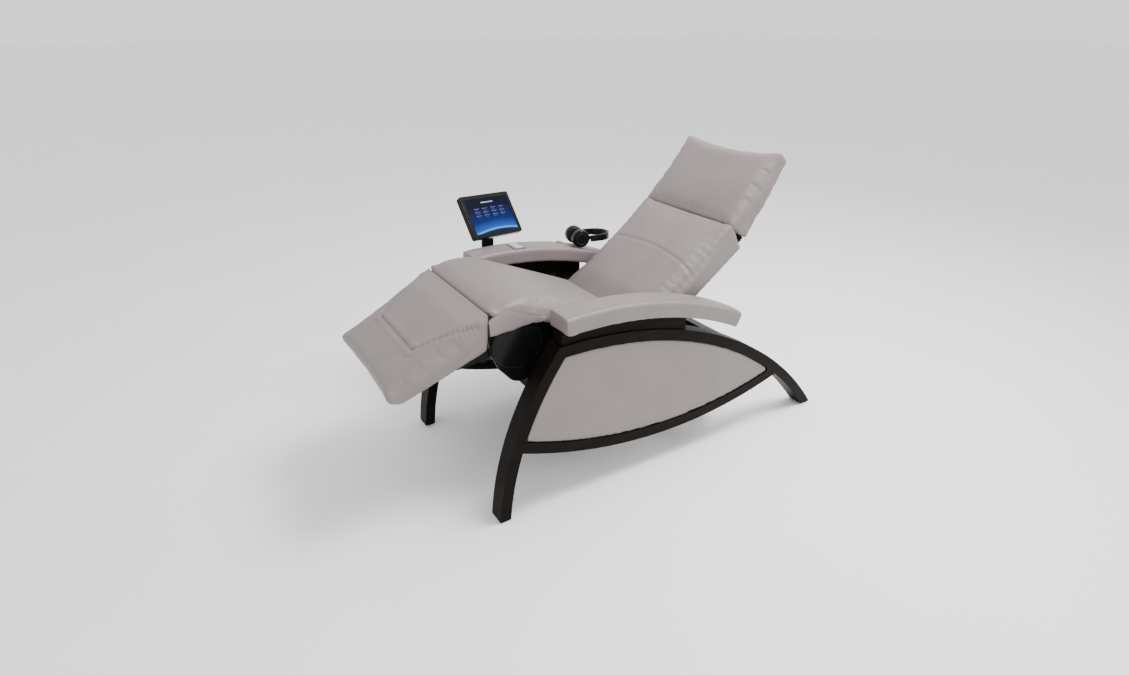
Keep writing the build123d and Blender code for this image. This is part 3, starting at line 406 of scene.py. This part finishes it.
MATERIALS = {
    "leather": leather_material(),
    "wood": wood_material("wood", (0.0026, 0.0016, 0.0010), (0.0080, 0.0050, 0.0032), 0.42, 1),
    "plywood": ply_material(),
    "steel": grained("steel", (0.004, 0.004, 0.0045), (0.008, 0.008, 0.0085), 0.45, 700, 0.18,
                     Specular_IOR_Level=0.10),
    "rod_steel": brushed_material(),
    "bolts": grained("bolts", (0.16, 0.16, 0.165), (0.26, 0.26, 0.27), 0.34, 900, 0.12,
                     Metallic=1.0),
    "black_plastic": grained("black_plastic", (0.004, 0.004, 0.0045), (0.007, 0.007, 0.0075),
                             0.34, 900, 0.06, Specular_IOR_Level=0.16),
    "gloss_black": grained("gloss_black", (0.003, 0.003, 0.0033), (0.005, 0.005, 0.0055),
                           0.22, 260, 0.02, Specular_IOR_Level=0.12),
    "button_grey": grained("button_grey", (0.42, 0.43, 0.44), (0.52, 0.53, 0.54), 0.4, 900, 0.12),
    "panel_taupe": grained("panel_taupe", (0.19, 0.165, 0.16), (0.23, 0.20, 0.195),
                           0.35, 900, 0.12),
    "glides": grained("glides", (0.016, 0.016, 0.016), (0.028, 0.028, 0.028), 0.8, 500, 0.3),
    "black_fabric": cloth_material("black_fabric", (0.003, 0.003, 0.0032), (0.007, 0.007, 0.0075)),
    "thread": cloth_material("thread", (0.10, 0.088, 0.084), (0.14, 0.125, 0.12)),
    "ear_leather": grained("ear_leather", (0.006, 0.006, 0.0063), (0.011, 0.011, 0.0115),
                           0.42, 420, 0.35, Specular_IOR_Level=0.2),
    "grey_trim": grained("grey_trim", (0.05, 0.05, 0.052), (0.075, 0.075, 0.078), 0.3, 900, 0.1,
                         Metallic=0.6),
    "screen_blue": lit_material("screen_blue", (0.02, 0.10, 0.62), 1.0),
    "screen_dim": lit_material("screen_dim", (0.02, 0.06, 0.35), 0.8),
    "screen_pale": lit_material("screen_pale", (0.45, 0.55, 0.75), 1.0),
}


def dress(obj, name):
    """Gives an object one of the materials in place of its own."""
    obj.data.materials.clear()
    obj.data.materials.append(MATERIALS[name])


def paint(obj, name):
    """Gives an object one of the materials in place of its own."""
    dress(obj, name)
    return obj


# --- mesh helpers ---
def new_object(name, mesh):
    """A mesh as a shown, smooth-shaded object."""
    obj = bpy.data.objects.new(name, mesh)
    bpy.context.scene.collection.objects.link(obj)
    mesh.shade_smooth()
    return obj


def baked(obj):
    """Applies every modifier."""
    bpy.context.view_layer.update()
    graph = bpy.context.evaluated_depsgraph_get()
    mesh = bpy.data.meshes.new_from_object(obj.evaluated_get(graph))
    obj.modifiers.clear()
    old, obj.data = obj.data, mesh
    bpy.data.meshes.remove(old)
    obj.data.shade_smooth()


def remeshed(name, node, voxel, rounding, inset):
    """A copy of a CAD cushion in even small faces, slightly smaller, with rounded edges."""
    obj = new_object(name, NODES[node].data.copy())
    obj.data.materials.clear()
    remesh = obj.modifiers.new("remesh", "REMESH")
    remesh.mode = "VOXEL"
    remesh.voxel_size = voxel
    smooth = obj.modifiers.new("smooth", "SMOOTH")
    smooth.factor = 0.5
    smooth.iterations = rounding
    baked(obj)
    move(obj.data, coords(obj.data) - inset * normals(obj.data))
    return obj


def inflated(obj, weight, pressure, cap):
    """Swells a cushion as a cloth under pressure. weight says how freely each point may move."""
    rest = coords(obj.data)
    cloth = obj.modifiers.new("cloth", "CLOTH")
    cloth.settings.quality = 5
    cloth.settings.mass = 0.3
    cloth.settings.tension_stiffness = 8
    cloth.settings.compression_stiffness = 8
    cloth.settings.shear_stiffness = 4
    cloth.settings.bending_stiffness = 0.8
    cloth.settings.use_pressure = True
    cloth.settings.uniform_pressure_force = pressure
    cloth.settings.effector_weights.gravity = 0
    cloth.collision_settings.use_collision = False
    scene = bpy.context.scene
    for number in range(1, SIM_FRAMES + 1):
        scene.frame_set(number)
    baked(obj)
    shift = coords(obj.data) - rest
    length = np.linalg.norm(shift, axis=1, keepdims=True)
    shift *= cap * np.tanh(length / cap) / np.maximum(length, 1e-9)
    move(obj.data, rest + shift * weight[:, None])
    scene.frame_set(1)


def refined(obj):
    """One level of subdivision."""
    obj.modifiers.new("fine", "SUBSURF").levels = 1
    obj.modifiers["fine"].render_levels = 1
    baked(obj)


def stitches(name, target, path, body, offset=0.0, direction=Vector((0, 0, 1))):
    """A row of thread stitches laid on a cushion along a path of points above it."""
    tree = BVHTree.FromPolygons([v.co for v in target.data.vertices],
                                [p.vertices for p in target.data.polygons])
    points = []
    for a, b in zip(path[:-1], path[1:]):
        a, b = Vector(a), Vector(b)
        count = max(1, round((b - a).length / STITCH))
        side = (b - a).normalized().cross(direction).normalized() * offset
        for i in range(count):
            pair = []
            for u in (i / count, (i + STITCH_FILL) / count):
                start = a.lerp(b, u) + side + direction * THREAD_START
                hit = tree.ray_cast(start, -direction, THREAD_REACH)
                pair.append(hit[0])
            if all(p is not None for p in pair):
                points.append(pair)
    mesh = bpy.data.meshes.new(name)
    bm = bmesh.new()
    for a, b in points:
        axis = b - a
        if axis.length > 2 * STITCH:
            continue
        turn = axis.to_track_quat("Z", "Y").to_matrix().to_4x4()
        place = Matrix.Translation((a + b) / 2 + direction * THREAD * 0.4) @ turn
        size = Matrix.Diagonal((THREAD, THREAD, axis.length / 2, 1))
        bmesh.ops.create_uvsphere(bm, u_segments=6, v_segments=4, radius=1, matrix=place @ size)
    bm.to_mesh(mesh)
    bm.free()
    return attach(paint(new_object(name, mesh), "thread"), body)


# --- cushions ---
def finish_cushion(obj, body, node):
    """Leather, the body it rides on, and what it stands for."""
    paint(obj, "leather")
    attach(obj, body)
    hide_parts(node)
    return obj


def seams(obj, paths, flatten, depth, width, swell):
    """Sewn channels along paths in the flattened plane, puckered beside the thread."""
    co, n = coords(obj.data), normals(obj.data)
    plane, on = flatten(co)
    lift = np.zeros(len(co))
    for path in paths:
        d, along = distance(plane, path)
        lift -= depth * bump(d, width)
        lift += swell * bump(d - 0.016, 0.010)
        pucker = np.sin(along * 2 * pi / PUCKER_PITCH + 3 * np.sin(along * 31))
        lift += 0.0007 * pucker * bump(d - 0.007, 0.010)
    move(obj.data, co + n * (lift * on)[:, None])


def rounded_corners(co, section, half, edge, radius, direction=1):
    """Rounds a cushion's two corners at one end, seen square on to its surface."""
    s, _ = section.st(co)
    over_x = np.maximum(np.abs(co[:, 0]) - (half - radius), 0)
    over_s = np.maximum((s - edge) * direction + radius, 0)
    reach = np.hypot(over_x, over_s)
    outside = (reach > radius) & (over_x > 0) & (over_s > 0)
    pull = np.where(outside, 1 - radius / np.maximum(reach, 1e-9), 0)
    co[:, 0] -= np.sign(co[:, 0]) * over_x * pull
    co[:, 1:] -= (direction * over_s * pull)[:, None] * section.along
    return co


def make_back():
    """Back cushion: crowned, with a curved seam under the shoulders and creased sides."""
    obj = remeshed("back_cushion_leather", "back_cushion", VOXEL, 12, 0.0)
    s, t = BACK.st(coords(obj.data))
    ends = (0.5 + 0.5 * (1 - step(s, 0.32, 0.49))) * (0.3 + 0.7 * step(s, 0.02, 0.10))
    inflated(obj, step(t, -0.116, -0.05) * ends, 3.2, 0.015)
    refined(obj)
    co, n = coords(obj.data), normals(obj.data)
    s, t = BACK.st(co)
    face = step(t, -0.05, -0.01)
    side = 1 - face
    lift = 0.0016 * noise(co, (0.19, 0.13, 0.13), 3) * face
    folds = creases((s / 0.062 + t / 0.09, t / 0.10), co, 7)
    lift += 0.0009 * folds * side * step(t, -0.115, -0.06)
    lift += 0.0022 * folds * bump(s - 0.47, 0.05) * face
    co = co + n * lift[:, None]
    stretch = 0.011 * step(s, 0.43, 0.49) * step(t, -0.1, -0.04) - 0.028 * (1 - step(s, 0.01, 0.09))
    co[:, 1:] += stretch[:, None] * BACK.along
    move(obj.data, rounded_corners(co, BACK, CUSHION_HALF, 0.500, 0.026))
    across = np.linspace(-CUSHION_HALF, CUSHION_HALF, 25)
    seam = [(x, 0.292 - 0.035 * (x / 0.255) ** 2) for x in across]

    def flatten(points):
        """The back's face: x and the distance along it, and how much of a point is on that face."""
        along, out = BACK.st(points)
        return np.column_stack((points[:, 0], along)), step(out, -0.03, -0.012)

    seams(obj, [seam], flatten, 0.0020, 0.005, 0.0008)
    path = [BACK.point(x, y, 0.0) for x, y in seam]
    stitches("back_seam_thread", obj, path, "back", 0.004, BACK.normal)
    return finish_cushion(obj, "back", "back_cushion")


def make_head():
    """Head cushion: soft block with a hollowed top edge and creases along its sides."""
    obj = remeshed("head_cushion_leather", "head_cushion", VOXEL, 10, 0.0)
    s, t = HEAD.st(coords(obj.data))
    inflated(obj, step(t, -0.095, -0.03) * (0.5 + 0.5 * step(s, 0.0, 0.17)), 3.0, 0.015)
    refined(obj)
    co, n = coords(obj.data), normals(obj.data)
    s, t = HEAD.st(co)
    face = step(t, -0.045, -0.01)
    lift = 0.0018 * noise(co, (0.16, 0.11, 0.11), 11) * face
    folds = creases((s / 0.044 - t / 0.07, t / 0.09), co, 5)
    lift += 0.0030 * folds * (1 - face) * step(np.abs(co[:, 0]), 0.20, 0.25)
    corner = bump(s - 0.285, 0.035) * step(np.abs(co[:, 0]), 0.19, 0.25)
    lift -= 0.004 * corner * (0.6 + folds)
    co = co + n * lift[:, None]
    dip = 0.016 * step(s, 0.15, 0.33) * (1 - (co[:, 0] / 0.26) ** 2)
    dip += 0.011 * (1 - step(s, 0.0, 0.06)) * step(t, -0.09, -0.04)
    co[:, 1:] -= dip[:, None] * HEAD.along
    co = rounded_corners(co, HEAD, CUSHION_HALF, -0.006, 0.022, -1)
    move(obj.data, rounded_corners(co, HEAD, CUSHION_HALF, 0.330, 0.036))
    return finish_cushion(obj, "head", "head_cushion")


def make_seat():
    """Seat cushion: crowned between its sides, its lower edge gathered over the rail."""
    obj = remeshed("seat_cushion_leather", "seat_cushion", VOXEL, 9, 0.0015)
    co = coords(obj.data)
    _, t = SEAT.st(co)
    free = step(t, -0.075, -0.02) * (1 - step(knee_angle(co), 112, 126))
    inflated(obj, free, 2.6, 0.011)
    refined(obj)
    co, n = coords(obj.data), normals(obj.data)
    s, t = SEAT.st(co)
    open_top = 1 - step(knee_angle(co), 114, 128)
    face = step(t, -0.04, -0.012)
    lift = 0.0016 * noise(co, (0.2, 0.12, 0.12), 21) * face * open_top
    side = step(np.abs(co[:, 0]), 0.225, 0.25) * open_top
    gather = creases((s / 0.024, t / 0.06), co, 23)
    lift += 0.0045 * gather * side * step(-t, 0.02, 0.075)
    co = co + n * lift[:, None]
    hem = 0.008 * gather * side * step(-t, 0.045, 0.085)
    shoulder = 0.022 * np.clip((np.abs(co[:, 0]) - 0.165) / 0.093, 0, 1) ** 2.4
    shoulder *= 1 - step(-t, 0.035, 0.085)
    raised = 0.020 * side * step(-t, 0.045, 0.085) * step(s, 0.0, 0.06)
    co[:, 1:] += (hem + raised - shoulder * open_top)[:, None] * SEAT.out
    co[:, 1:] += (0.006 * step(s, 0.43, 0.475))[:, None] * SEAT.along
    move(obj.data, co)
    return finish_cushion(obj, "seat", "seat_cushion")


def leg_flat(points):
    """The leg rest's top: x and the distance from the knee along it."""
    s, t = LEG.st(points)
    return np.column_stack((points[:, 0], s)), step(-t, 0.118, 0.14)


def make_leg():
    """Leg rest cushion: a stitched knee panel, soft foot end, sides creased near the hinge."""
    obj = remeshed("leg_cushion_leather", "leg_cushion", VOXEL, 12, 0.0025)
    s, t = LEG.st(coords(obj.data))
    free = step(-t, 0.075, 0.135) * step(np.hypot(s, t), 0.15, 0.19)
    inflated(obj, free, 2.8, 0.013)
    refined(obj)
    co, n = coords(obj.data), normals(obj.data)
    s, t = LEG.st(co)
    face = step(-t, 0.118, 0.145)
    lift = 0.0016 * noise(co, (0.2, 0.12, 0.12), 31) * face * step(np.hypot(s, t), 0.15, 0.18)
    side = step(np.abs(co[:, 0]), 0.22, 0.25) * (1 - face)
    folds = creases((s / 0.048, (t + 0.5 * s) / 0.06), co, 33)
    lift += 0.0024 * folds * side * (bump(s - 0.12, 0.06) + 0.6 * bump(s - 0.38, 0.05))
    lift += 0.002 * folds * face * bump(s - 0.40, 0.05)
    co = co + n * lift[:, None]
    co[:, 1] += 0.0045 * step(co[:, 1], -0.745, -0.714) * step(co[:, 2], 0.60, 0.66)
    move(obj.data, co)
    near = 0.075
    cross, half, wide = 0.27, 0.150, 0.257
    panel = [[(-half, cross), (half, cross)], [(-half, cross), (-wide, near)],
             [(half, cross), (wide, near)]]
    seams(obj, panel, leg_flat, 0.0026, 0.004, 0.0018)
    down = LEG.normal * -1
    for i, path in enumerate(panel):
        points = [LEG.point(x, y, LEG_TOP) for x, y in path]
        for row, offset in enumerate((-0.004, 0.004) if i == 0 else (0.003,)):
            stitches(f"knee_panel_thread_{i}_{row}", obj, points, "leg_rest", offset, down)
    return finish_cushion(obj, "leg_rest", "leg_cushion")


def make_armrest(side):
    """Armrest pad: leather pulled round a board, with a seam along its outer top edge."""
    node = f"{side}_armrest_pad"
    obj = remeshed(f"{side}_armrest_leather", node, ARM_VOXEL, 5, 0.0003)
    refined(obj)
    low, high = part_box(node)
    middle = (low[0] + high[0]) / 2
    co, n = coords(obj.data), normals(obj.data)
    across = (co[:, 0] - middle) / (high[0] - middle)
    crown = 0.0035 * (1 - across**2) * step(n[:, 2], 0.3, 0.9)
    if side == "right":
        for name, clear in (("control_bezel", 0.012), ("intensity_dial", 0.012),
                            ("near_ear_cup", 0.02), ("far_ear_cup", 0.02), ("headband", 0.02)):
            a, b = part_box(name)
            outside = np.maximum(np.maximum(a[0] - co[:, 0], co[:, 0] - b[0]),
                                 np.maximum(a[1] - co[:, 1], co[:, 1] - b[1]))
            crown *= step(outside, 0.0, clear)
    folds = noise(np.column_stack((co[:, 0] / 0.03, co[:, 1] / 0.016, co[:, 2] / 0.02)), 1.0, 41)
    front = bump(co[:, 1] - low[1], 0.035)
    lift = crown + 0.0022 * folds * front * step(np.abs(across), 0.3, 0.9)
    lift += 0.0007 * (noise(co, (0.05, 0.09, 0.05), 43) - 1) * step(n[:, 2], 0.3, 0.9)
    move(obj.data, co + n * lift[:, None])
    for edge in (0, 1):
        x = (low[0] + 0.0125, high[0] - 0.0125)[edge]
        path = []
        for y in np.linspace(low[1] + 0.012, high[1] - 0.030, 30):
            path.append((x, y, sqrt(ARM_R**2 - (y - ARM_CENTRE[0]) ** 2) + ARM_CENTRE[1]))
        stitches(f"{side}_armrest_thread_{edge}", obj, path, "base")
    return finish_cushion(obj, "base", node)


def make_side_panel(side):
    """Side panel: leather over thin foam, crowned a little inside its wooden frame."""
    node = f"{side}_side_pad"
    obj = remeshed(f"{side}_side_leather", node, 0.006, 2, -0.0011)
    refined(obj)
    co, n = coords(obj.data), normals(obj.data)
    sign = dict(SIDES)[side]
    outer = step(n[:, 0] * sign, 0.5, 0.95)
    ripple = 0.0006 * noise(co, (1.0, 0.16, 0.12), 51)
    crown = 0.002 * np.clip(1 - ((co[:, 2] - 0.40) / 0.18) ** 2, 0, 1)
    co[:, 0] += sign * (crown + ripple) * outer
    move(obj.data, co)
    return finish_cushion(obj, "base", node)


def strip(name, rings):
    """A closed mesh skin through equal rings of points, capped at both ends."""
    mesh = bpy.data.meshes.new(name)
    count = len(rings[0])
    faces = []
    for i in range(len(rings) - 1):
        for j in range(count):
            k = (j + 1) % count
            faces.append((i * count + j, i * count + k, (i + 1) * count + k, (i + 1) * count + j))
    faces.append(tuple(range(count))[::-1])
    faces.append(tuple((len(rings) - 1) * count + j for j in range(count)))
    mesh.from_pydata([tuple(p) for ring in rings for p in ring], [], faces)
    mesh.update()
    return new_object(name, mesh)


def make_skirts():
    """Black lining that shows under the seat's sides, stapled to the rails."""
    for side, sign in SIDES:
        rings = []
        for i in range(LINING_STEPS):
            s = -0.02 + i * LINING_PITCH
            wave = 0.003 * sin(i * 1.7) + 0.002 * sin(i * 0.73 + 1)
            ring = []
            for x, t in ((0.243, -0.060), (0.2445, -0.098), (0.239 + wave, -0.122),
                         (0.226, -0.141 + wave), (0.223, -0.139 + wave), (0.235 + wave, -0.121),
                         (0.2405, -0.098), (0.239, -0.060)):
                ring.append(SEAT.point(sign * x, s, t))
            rings.append(ring)
        obj = strip(f"{side}_seat_lining", rings)
        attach(paint(obj, "black_fabric"), "seat")


def make_falls():
    """The seat's leather carried down over each knee cover, gathered along its lower edge."""
    places = np.array(FALL_EDGE)
    count = 121
    along = np.linspace(0, len(places) - 1, count)
    lower_s = np.interp(along, np.arange(len(places)), places[:, 0])
    lower_t = np.interp(along, np.arange(len(places)), places[:, 1])
    flat_points = np.column_stack((lower_s, np.zeros(count), np.zeros(count)))
    waves = noise(flat_points, 0.013, 61)
    for side, sign in SIDES:
        rings = []
        for i in range(count):
            top_s = lower_s[i] - 0.020 * (1 - i / (count - 1))
            surface = sqrt(CREST_R**2 - min(top_s, 0.0) ** 2) - CREST_R
            top_t, bottom_t = min(-0.045, surface - 0.030), lower_t[i] + 0.0025 * waves[i]
            ring = []
            for v, x in FALL_RING:
                fold = 0.0014 * waves[i] * v if 0.4 < v < 1 and x > 0.2603 else 0.0
                s = top_s + (lower_s[i] - top_s) * v
                ring.append(SEAT.point(sign * (x + fold), s, top_t + (bottom_t - top_t) * v))
            rings.append(ring)
        obj = strip(f"{side}_seat_fall", rings)
        refined(obj)
        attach(paint(obj, "leather"), "seat")


def make_bellows():
    """Pleated black cloth that closes the gap between the back and the head rest."""
    rings = []
    middle = turned((BACK_ANGLE + HEAD_ANGLE) / 2)
    for i in range(PLEATS):
        u = i / (PLEATS - 1)
        angle = radians(BACK_ANGLE + 90 + u * (HEAD_ANGLE - BACK_ANGLE))
        inner = 0.032 + (0.004 if i % 2 else 0.0)
        outer = -0.092 + (0.008 if i % 2 else 0.0)
        base = HEAD_HINGE + (u - 0.5) * BELLOWS_LENGTH * middle
        out = np.array([cos(angle), sin(angle)])
        ring = []
        for x, t in ((-1, -inner), (1, -inner), (1, outer), (-1, outer)):
            ring.append((x * BELLOWS_HALF, *(base + t * out)))
        rings.append(ring)
    obj = strip("head_bellows", rings)
    paint(obj, "black_fabric")
    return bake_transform(obj)


# --- hard details ---
def boxes(name, places, size, edge, segments, material, body):
    """Bevelled boxes of one size, at several placements, as one piece."""
    bm = bmesh.new()
    for place in places:
        bmesh.ops.create_cube(bm, size=1, matrix=place @ Matrix.Diagonal((*size, 1)))
    bmesh.ops.bevel(bm, geom=bm.edges[:], offset=edge, segments=segments, affect="EDGES")
    mesh = bpy.data.meshes.new(name)
    bm.to_mesh(mesh)
    bm.free()
    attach(paint(new_object(name, mesh), material), body)


def ring_of(name, centre, axis, major, minor, material, body, squash=1.0):
    """A torus about an axis."""
    bpy.ops.mesh.primitive_torus_add(major_radius=major, minor_radius=minor, major_segments=64,
                                     minor_segments=20)
    obj = bpy.context.object
    obj.name = name
    turn = Vector(axis).to_track_quat("Z", "Y").to_matrix().to_4x4()
    obj.data.transform(Matrix.Translation(centre) @ turn @ Matrix.Diagonal((1, 1, squash, 1)))
    obj.data.shade_smooth()
    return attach(paint(obj, material), body)


def tablet_axes():
    """The screen's centre, its right, up and outward directions, and its half sizes."""
    mesh = NODES["tablet_screen"].data
    co = coords(mesh)
    centre = Vector(co.mean(axis=0))
    right = Vector(JOINTS["tablet_tilt"]["axis"]).normalized()
    faces = sorted(mesh.polygons, key=lambda f: -f.area)
    out = Vector(faces[0].normal)
    out = out if out.x > 0 else -out
    up = out.cross(right).normalized()
    local = (co - np.array(centre)) @ np.array([right, up, out]).T
    return centre, right, up, out, np.abs(local).max(axis=0)


def display_material(centre, right, up, half):
    """A lit screen: dark top, deep blue below, and a bright arc like a horizon."""
    shader = Shader("display", (0.001, 0.002, 0.006), 0.3, Specular_IOR_Level=0.04)
    position = shader.node("ShaderNodeVectorMath", operation="SUBTRACT")
    shader.link(shader.coordinates, position.inputs[0])
    position.inputs[1].default_value = centre
    places = []
    for direction, size in ((right, half[0]), (up, half[1])):
        dot = shader.node("ShaderNodeVectorMath", operation="DOT_PRODUCT")
        shader.link(position.outputs["Vector"], dot.inputs[0])
        dot.inputs[1].default_value = direction / size
        places.append(dot.outputs["Value"])
    flat_place = shader.node("ShaderNodeCombineXYZ")
    shader.link(places[0], flat_place.inputs["X"])
    shader.link(places[1], flat_place.inputs["Y"])
    arc = shader.node("ShaderNodeVectorMath", operation="DISTANCE")
    shader.link(flat_place.outputs["Vector"], arc.inputs[0])
    arc.inputs[1].default_value = (0.15, -3.9, 0)
    glow = shader.ramp(shader.ranged(arc.outputs["Value"], 2.6, 4.9),
                       [(0.0, (0.001, 0.003, 0.015)), (0.18, (0.004, 0.02, 0.12)),
                        (0.215, (0.20, 0.62, 1.0)), (0.25, (0.02, 0.12, 0.60)),
                        (0.45, (0.004, 0.018, 0.16)), (0.85, (0.0, 0.001, 0.010))])
    shader.link(glow, shader.principled.inputs["Emission Color"])
    shader.principled.inputs["Emission Strength"].default_value = 1.1
    return shader.material


def make_tablet():
    """The tablet's lit screen with blocks for generic controls, and its side buttons."""
    centre, right, up, out, half = tablet_axes()
    MATERIALS["display"] = display_material(centre, right, up, half)
    surface = centre + out * (half[2] + 0.0004)
    turn = Matrix((right, up, out)).transposed().to_4x4()

    def blocks(name, places, size, material):
        """Small flat tiles on the glass."""
        placed = [Matrix.Translation(surface + right * x * half[0] + up * y * half[1]) @ turn
                  for x, y in places]
        boxes(name, placed, (*size, 0.0004), 0.00015, 1, material, "tablet")

    grid = [(x, y) for y in (0.42, 0.22, 0.02) for x in (-0.58, -0.20, 0.20, 0.58)]
    blocks("screen_tiles", grid, (0.026, 0.0022), "screen_blue")
    blocks("screen_captions", [(x, y - 0.09) for x, y in grid], (0.016, 0.0014), "screen_dim")
    blocks("screen_header", [(0.0, 0.76)], (0.062, 0.0052), "screen_pale")
    rear_edge = centre + right * (half[0] + 0.0145) - out * 0.006
    for i in range(3):
        place = Matrix.Translation(rear_edge + up * (0.03 - i * 0.028)) @ turn
        boxes(f"tablet_side_button_{i}", [place], (0.0035, 0.014, 0.005), 0.0011, 3,
              "black_plastic", "tablet")


def cup_centre(node):
    """The middle of an ear cup."""
    low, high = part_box(node)
    return (Vector(low) + Vector(high)) / 2


def make_headphones():
    """Soft rings, rims and cap lines on the two ear cups, and a padded sleeve on the band."""
    near, far = cup_centre("near_ear_cup"), cup_centre("far_ear_cup")
    along = Vector(JOINTS["near_ear_cup_swivel"]["axis"])
    across = (near - far).normalized()
    middle = (near + far) / 2
    for node, centre in (("near_ear_cup", near), ("far_ear_cup", far)):
        inward = (middle - centre).normalized()
        ring = ring_of(f"{node}_cushion", centre + inward * 0.0125, inward, 0.0255, 0.0095,
                       "ear_leather", node, 0.85)
        ring_of(f"{node}_rim", centre - inward * 0.0085, inward, 0.0353, 0.0011, "grey_trim", node)
        ring_of(f"{node}_cap_line", centre - inward * 0.0182, inward, 0.0225, 0.0006,
                "grey_trim", node)
    up = across.cross(along).normalized()
    rings = []
    count = 41
    bend = middle + along * BAND_STRAIGHT
    for i in range(count):
        angle = pi * (0.08 + 0.84 * i / (count - 1))
        radial = across * cos(angle) + along * sin(angle)
        core = bend + radial * (BAND_R - BAND_INSET)
        ring = []
        for j in range(14):
            turn = 2 * pi * j / 14
            puff = 1 + 0.10 * sin(i * 2.1) ** 2
            ring.append(core + radial * 0.0042 * cos(turn) * puff + up * 0.0145 * sin(turn))
        rings.append(ring)
    sleeve = strip("headband_sleeve", rings)
    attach(paint(sleeve, "ear_leather"), "headphones")


def make_controls():
    """Raised arrows on the rockers."""
    for node in ("recline_rocker", "leg_rocker"):
        low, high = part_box(node)
        x = (low[0] + high[0]) / 2
        bm = bmesh.new()
        for sign in (1, -1):
            y = (low[1] + high[1]) / 2 + sign * 0.008
            turn = Matrix.Rotation(sign * pi / 2 + pi / 2, 4, "Z") @ Matrix.Rotation(pi / 2, 4, "Z")
            bmesh.ops.create_cone(bm, cap_ends=True, segments=3, radius1=0.0034, radius2=0.0030,
                                  depth=0.0005, matrix=Matrix.Translation((x, y, high[2])) @ turn)
        mesh = bpy.data.meshes.new(f"{node}_arrows")
        bm.to_mesh(mesh)
        bm.free()
        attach(paint(new_object(mesh.name, mesh), "gloss_black"), node)


# --- build ---
for item in frame["record"]["subparts"]:
    slot = item["material_slot"]
    if slot in MATERIALS:
        node_object = NODES[item["node"]]
        dress(node_object, slot)
        node_object.data.shade_smooth()
        if slot in SOFT_EDGES:
            soft_edges = node_object.modifiers.new("soft edges", "BEVEL")
            soft_edges.width = SOFT_EDGES[slot]
            soft_edges.segments = 2
            soft_edges.angle_limit = radians(SOFT_ANGLE)
        smooth_by_angle = node_object.modifiers.new("split", "EDGE_SPLIT")
        smooth_by_angle.split_angle = radians(SPLIT_ANGLE)

make_tablet()
dress(NODES["tablet_screen"], "display")
make_back()
make_head()
make_seat()
make_leg()
for side_name, _ in SIDES:
    make_armrest(side_name)
    make_side_panel(side_name)
make_skirts()
make_falls()
make_bellows()
make_headphones()
make_controls()


# --- stage ---
def make_stage():
    """A pale floor, soft lights and the camera."""
    bpy.ops.mesh.primitive_plane_add(size=FLOOR_SIZE, location=(0, 0, 0))
    floor = bpy.context.object
    floor.name = "floor"
    shader = Shader("floor", (0.95, 0.95, 0.95), 0.95, Specular_IOR_Level=0.1)
    stops = [(0.3, (0.94, 0.94, 0.94)), (0.7, (0.96, 0.96, 0.96))]
    shader.link(shader.ramp(shader.noise(2, 2), stops), shader.principled.inputs["Base Color"])
    floor.data.materials.append(shader.material)
    world = bpy.data.worlds.new("studio")
    world.use_nodes = True
    world.node_tree.nodes["Background"].inputs["Color"].default_value = (1, 1, 1, 1)
    world.node_tree.nodes["Background"].inputs["Strength"].default_value = WORLD_STRENGTH
    bpy.context.scene.world = world
    for name, place, size, power in LIGHTS:
        light = bpy.data.lights.new(name, "AREA")
        light.size = size
        light.energy = power
        lamp = bpy.data.objects.new(name, light)
        lamp.location = place
        aim = Vector(LIGHT_TARGET) - Vector(place)
        lamp.rotation_euler = aim.to_track_quat("-Z", "Y").to_euler()
        bpy.context.scene.collection.objects.link(lamp)
    camera_data = bpy.data.cameras.new("camera")
    camera_data.sensor_width = SENSOR_WIDTH
    camera_data.lens = CAMERA_LENS
    camera_data.shift_x, camera_data.shift_y = CAMERA_SHIFT
    camera = bpy.data.objects.new("camera", camera_data)
    camera.location = CAMERA_PLACE
    camera.rotation_euler = (radians(CAMERA_TILT), 0, radians(CAMERA_TURN))
    bpy.context.scene.collection.objects.link(camera)
    bpy.context.scene.camera = camera


make_stage()
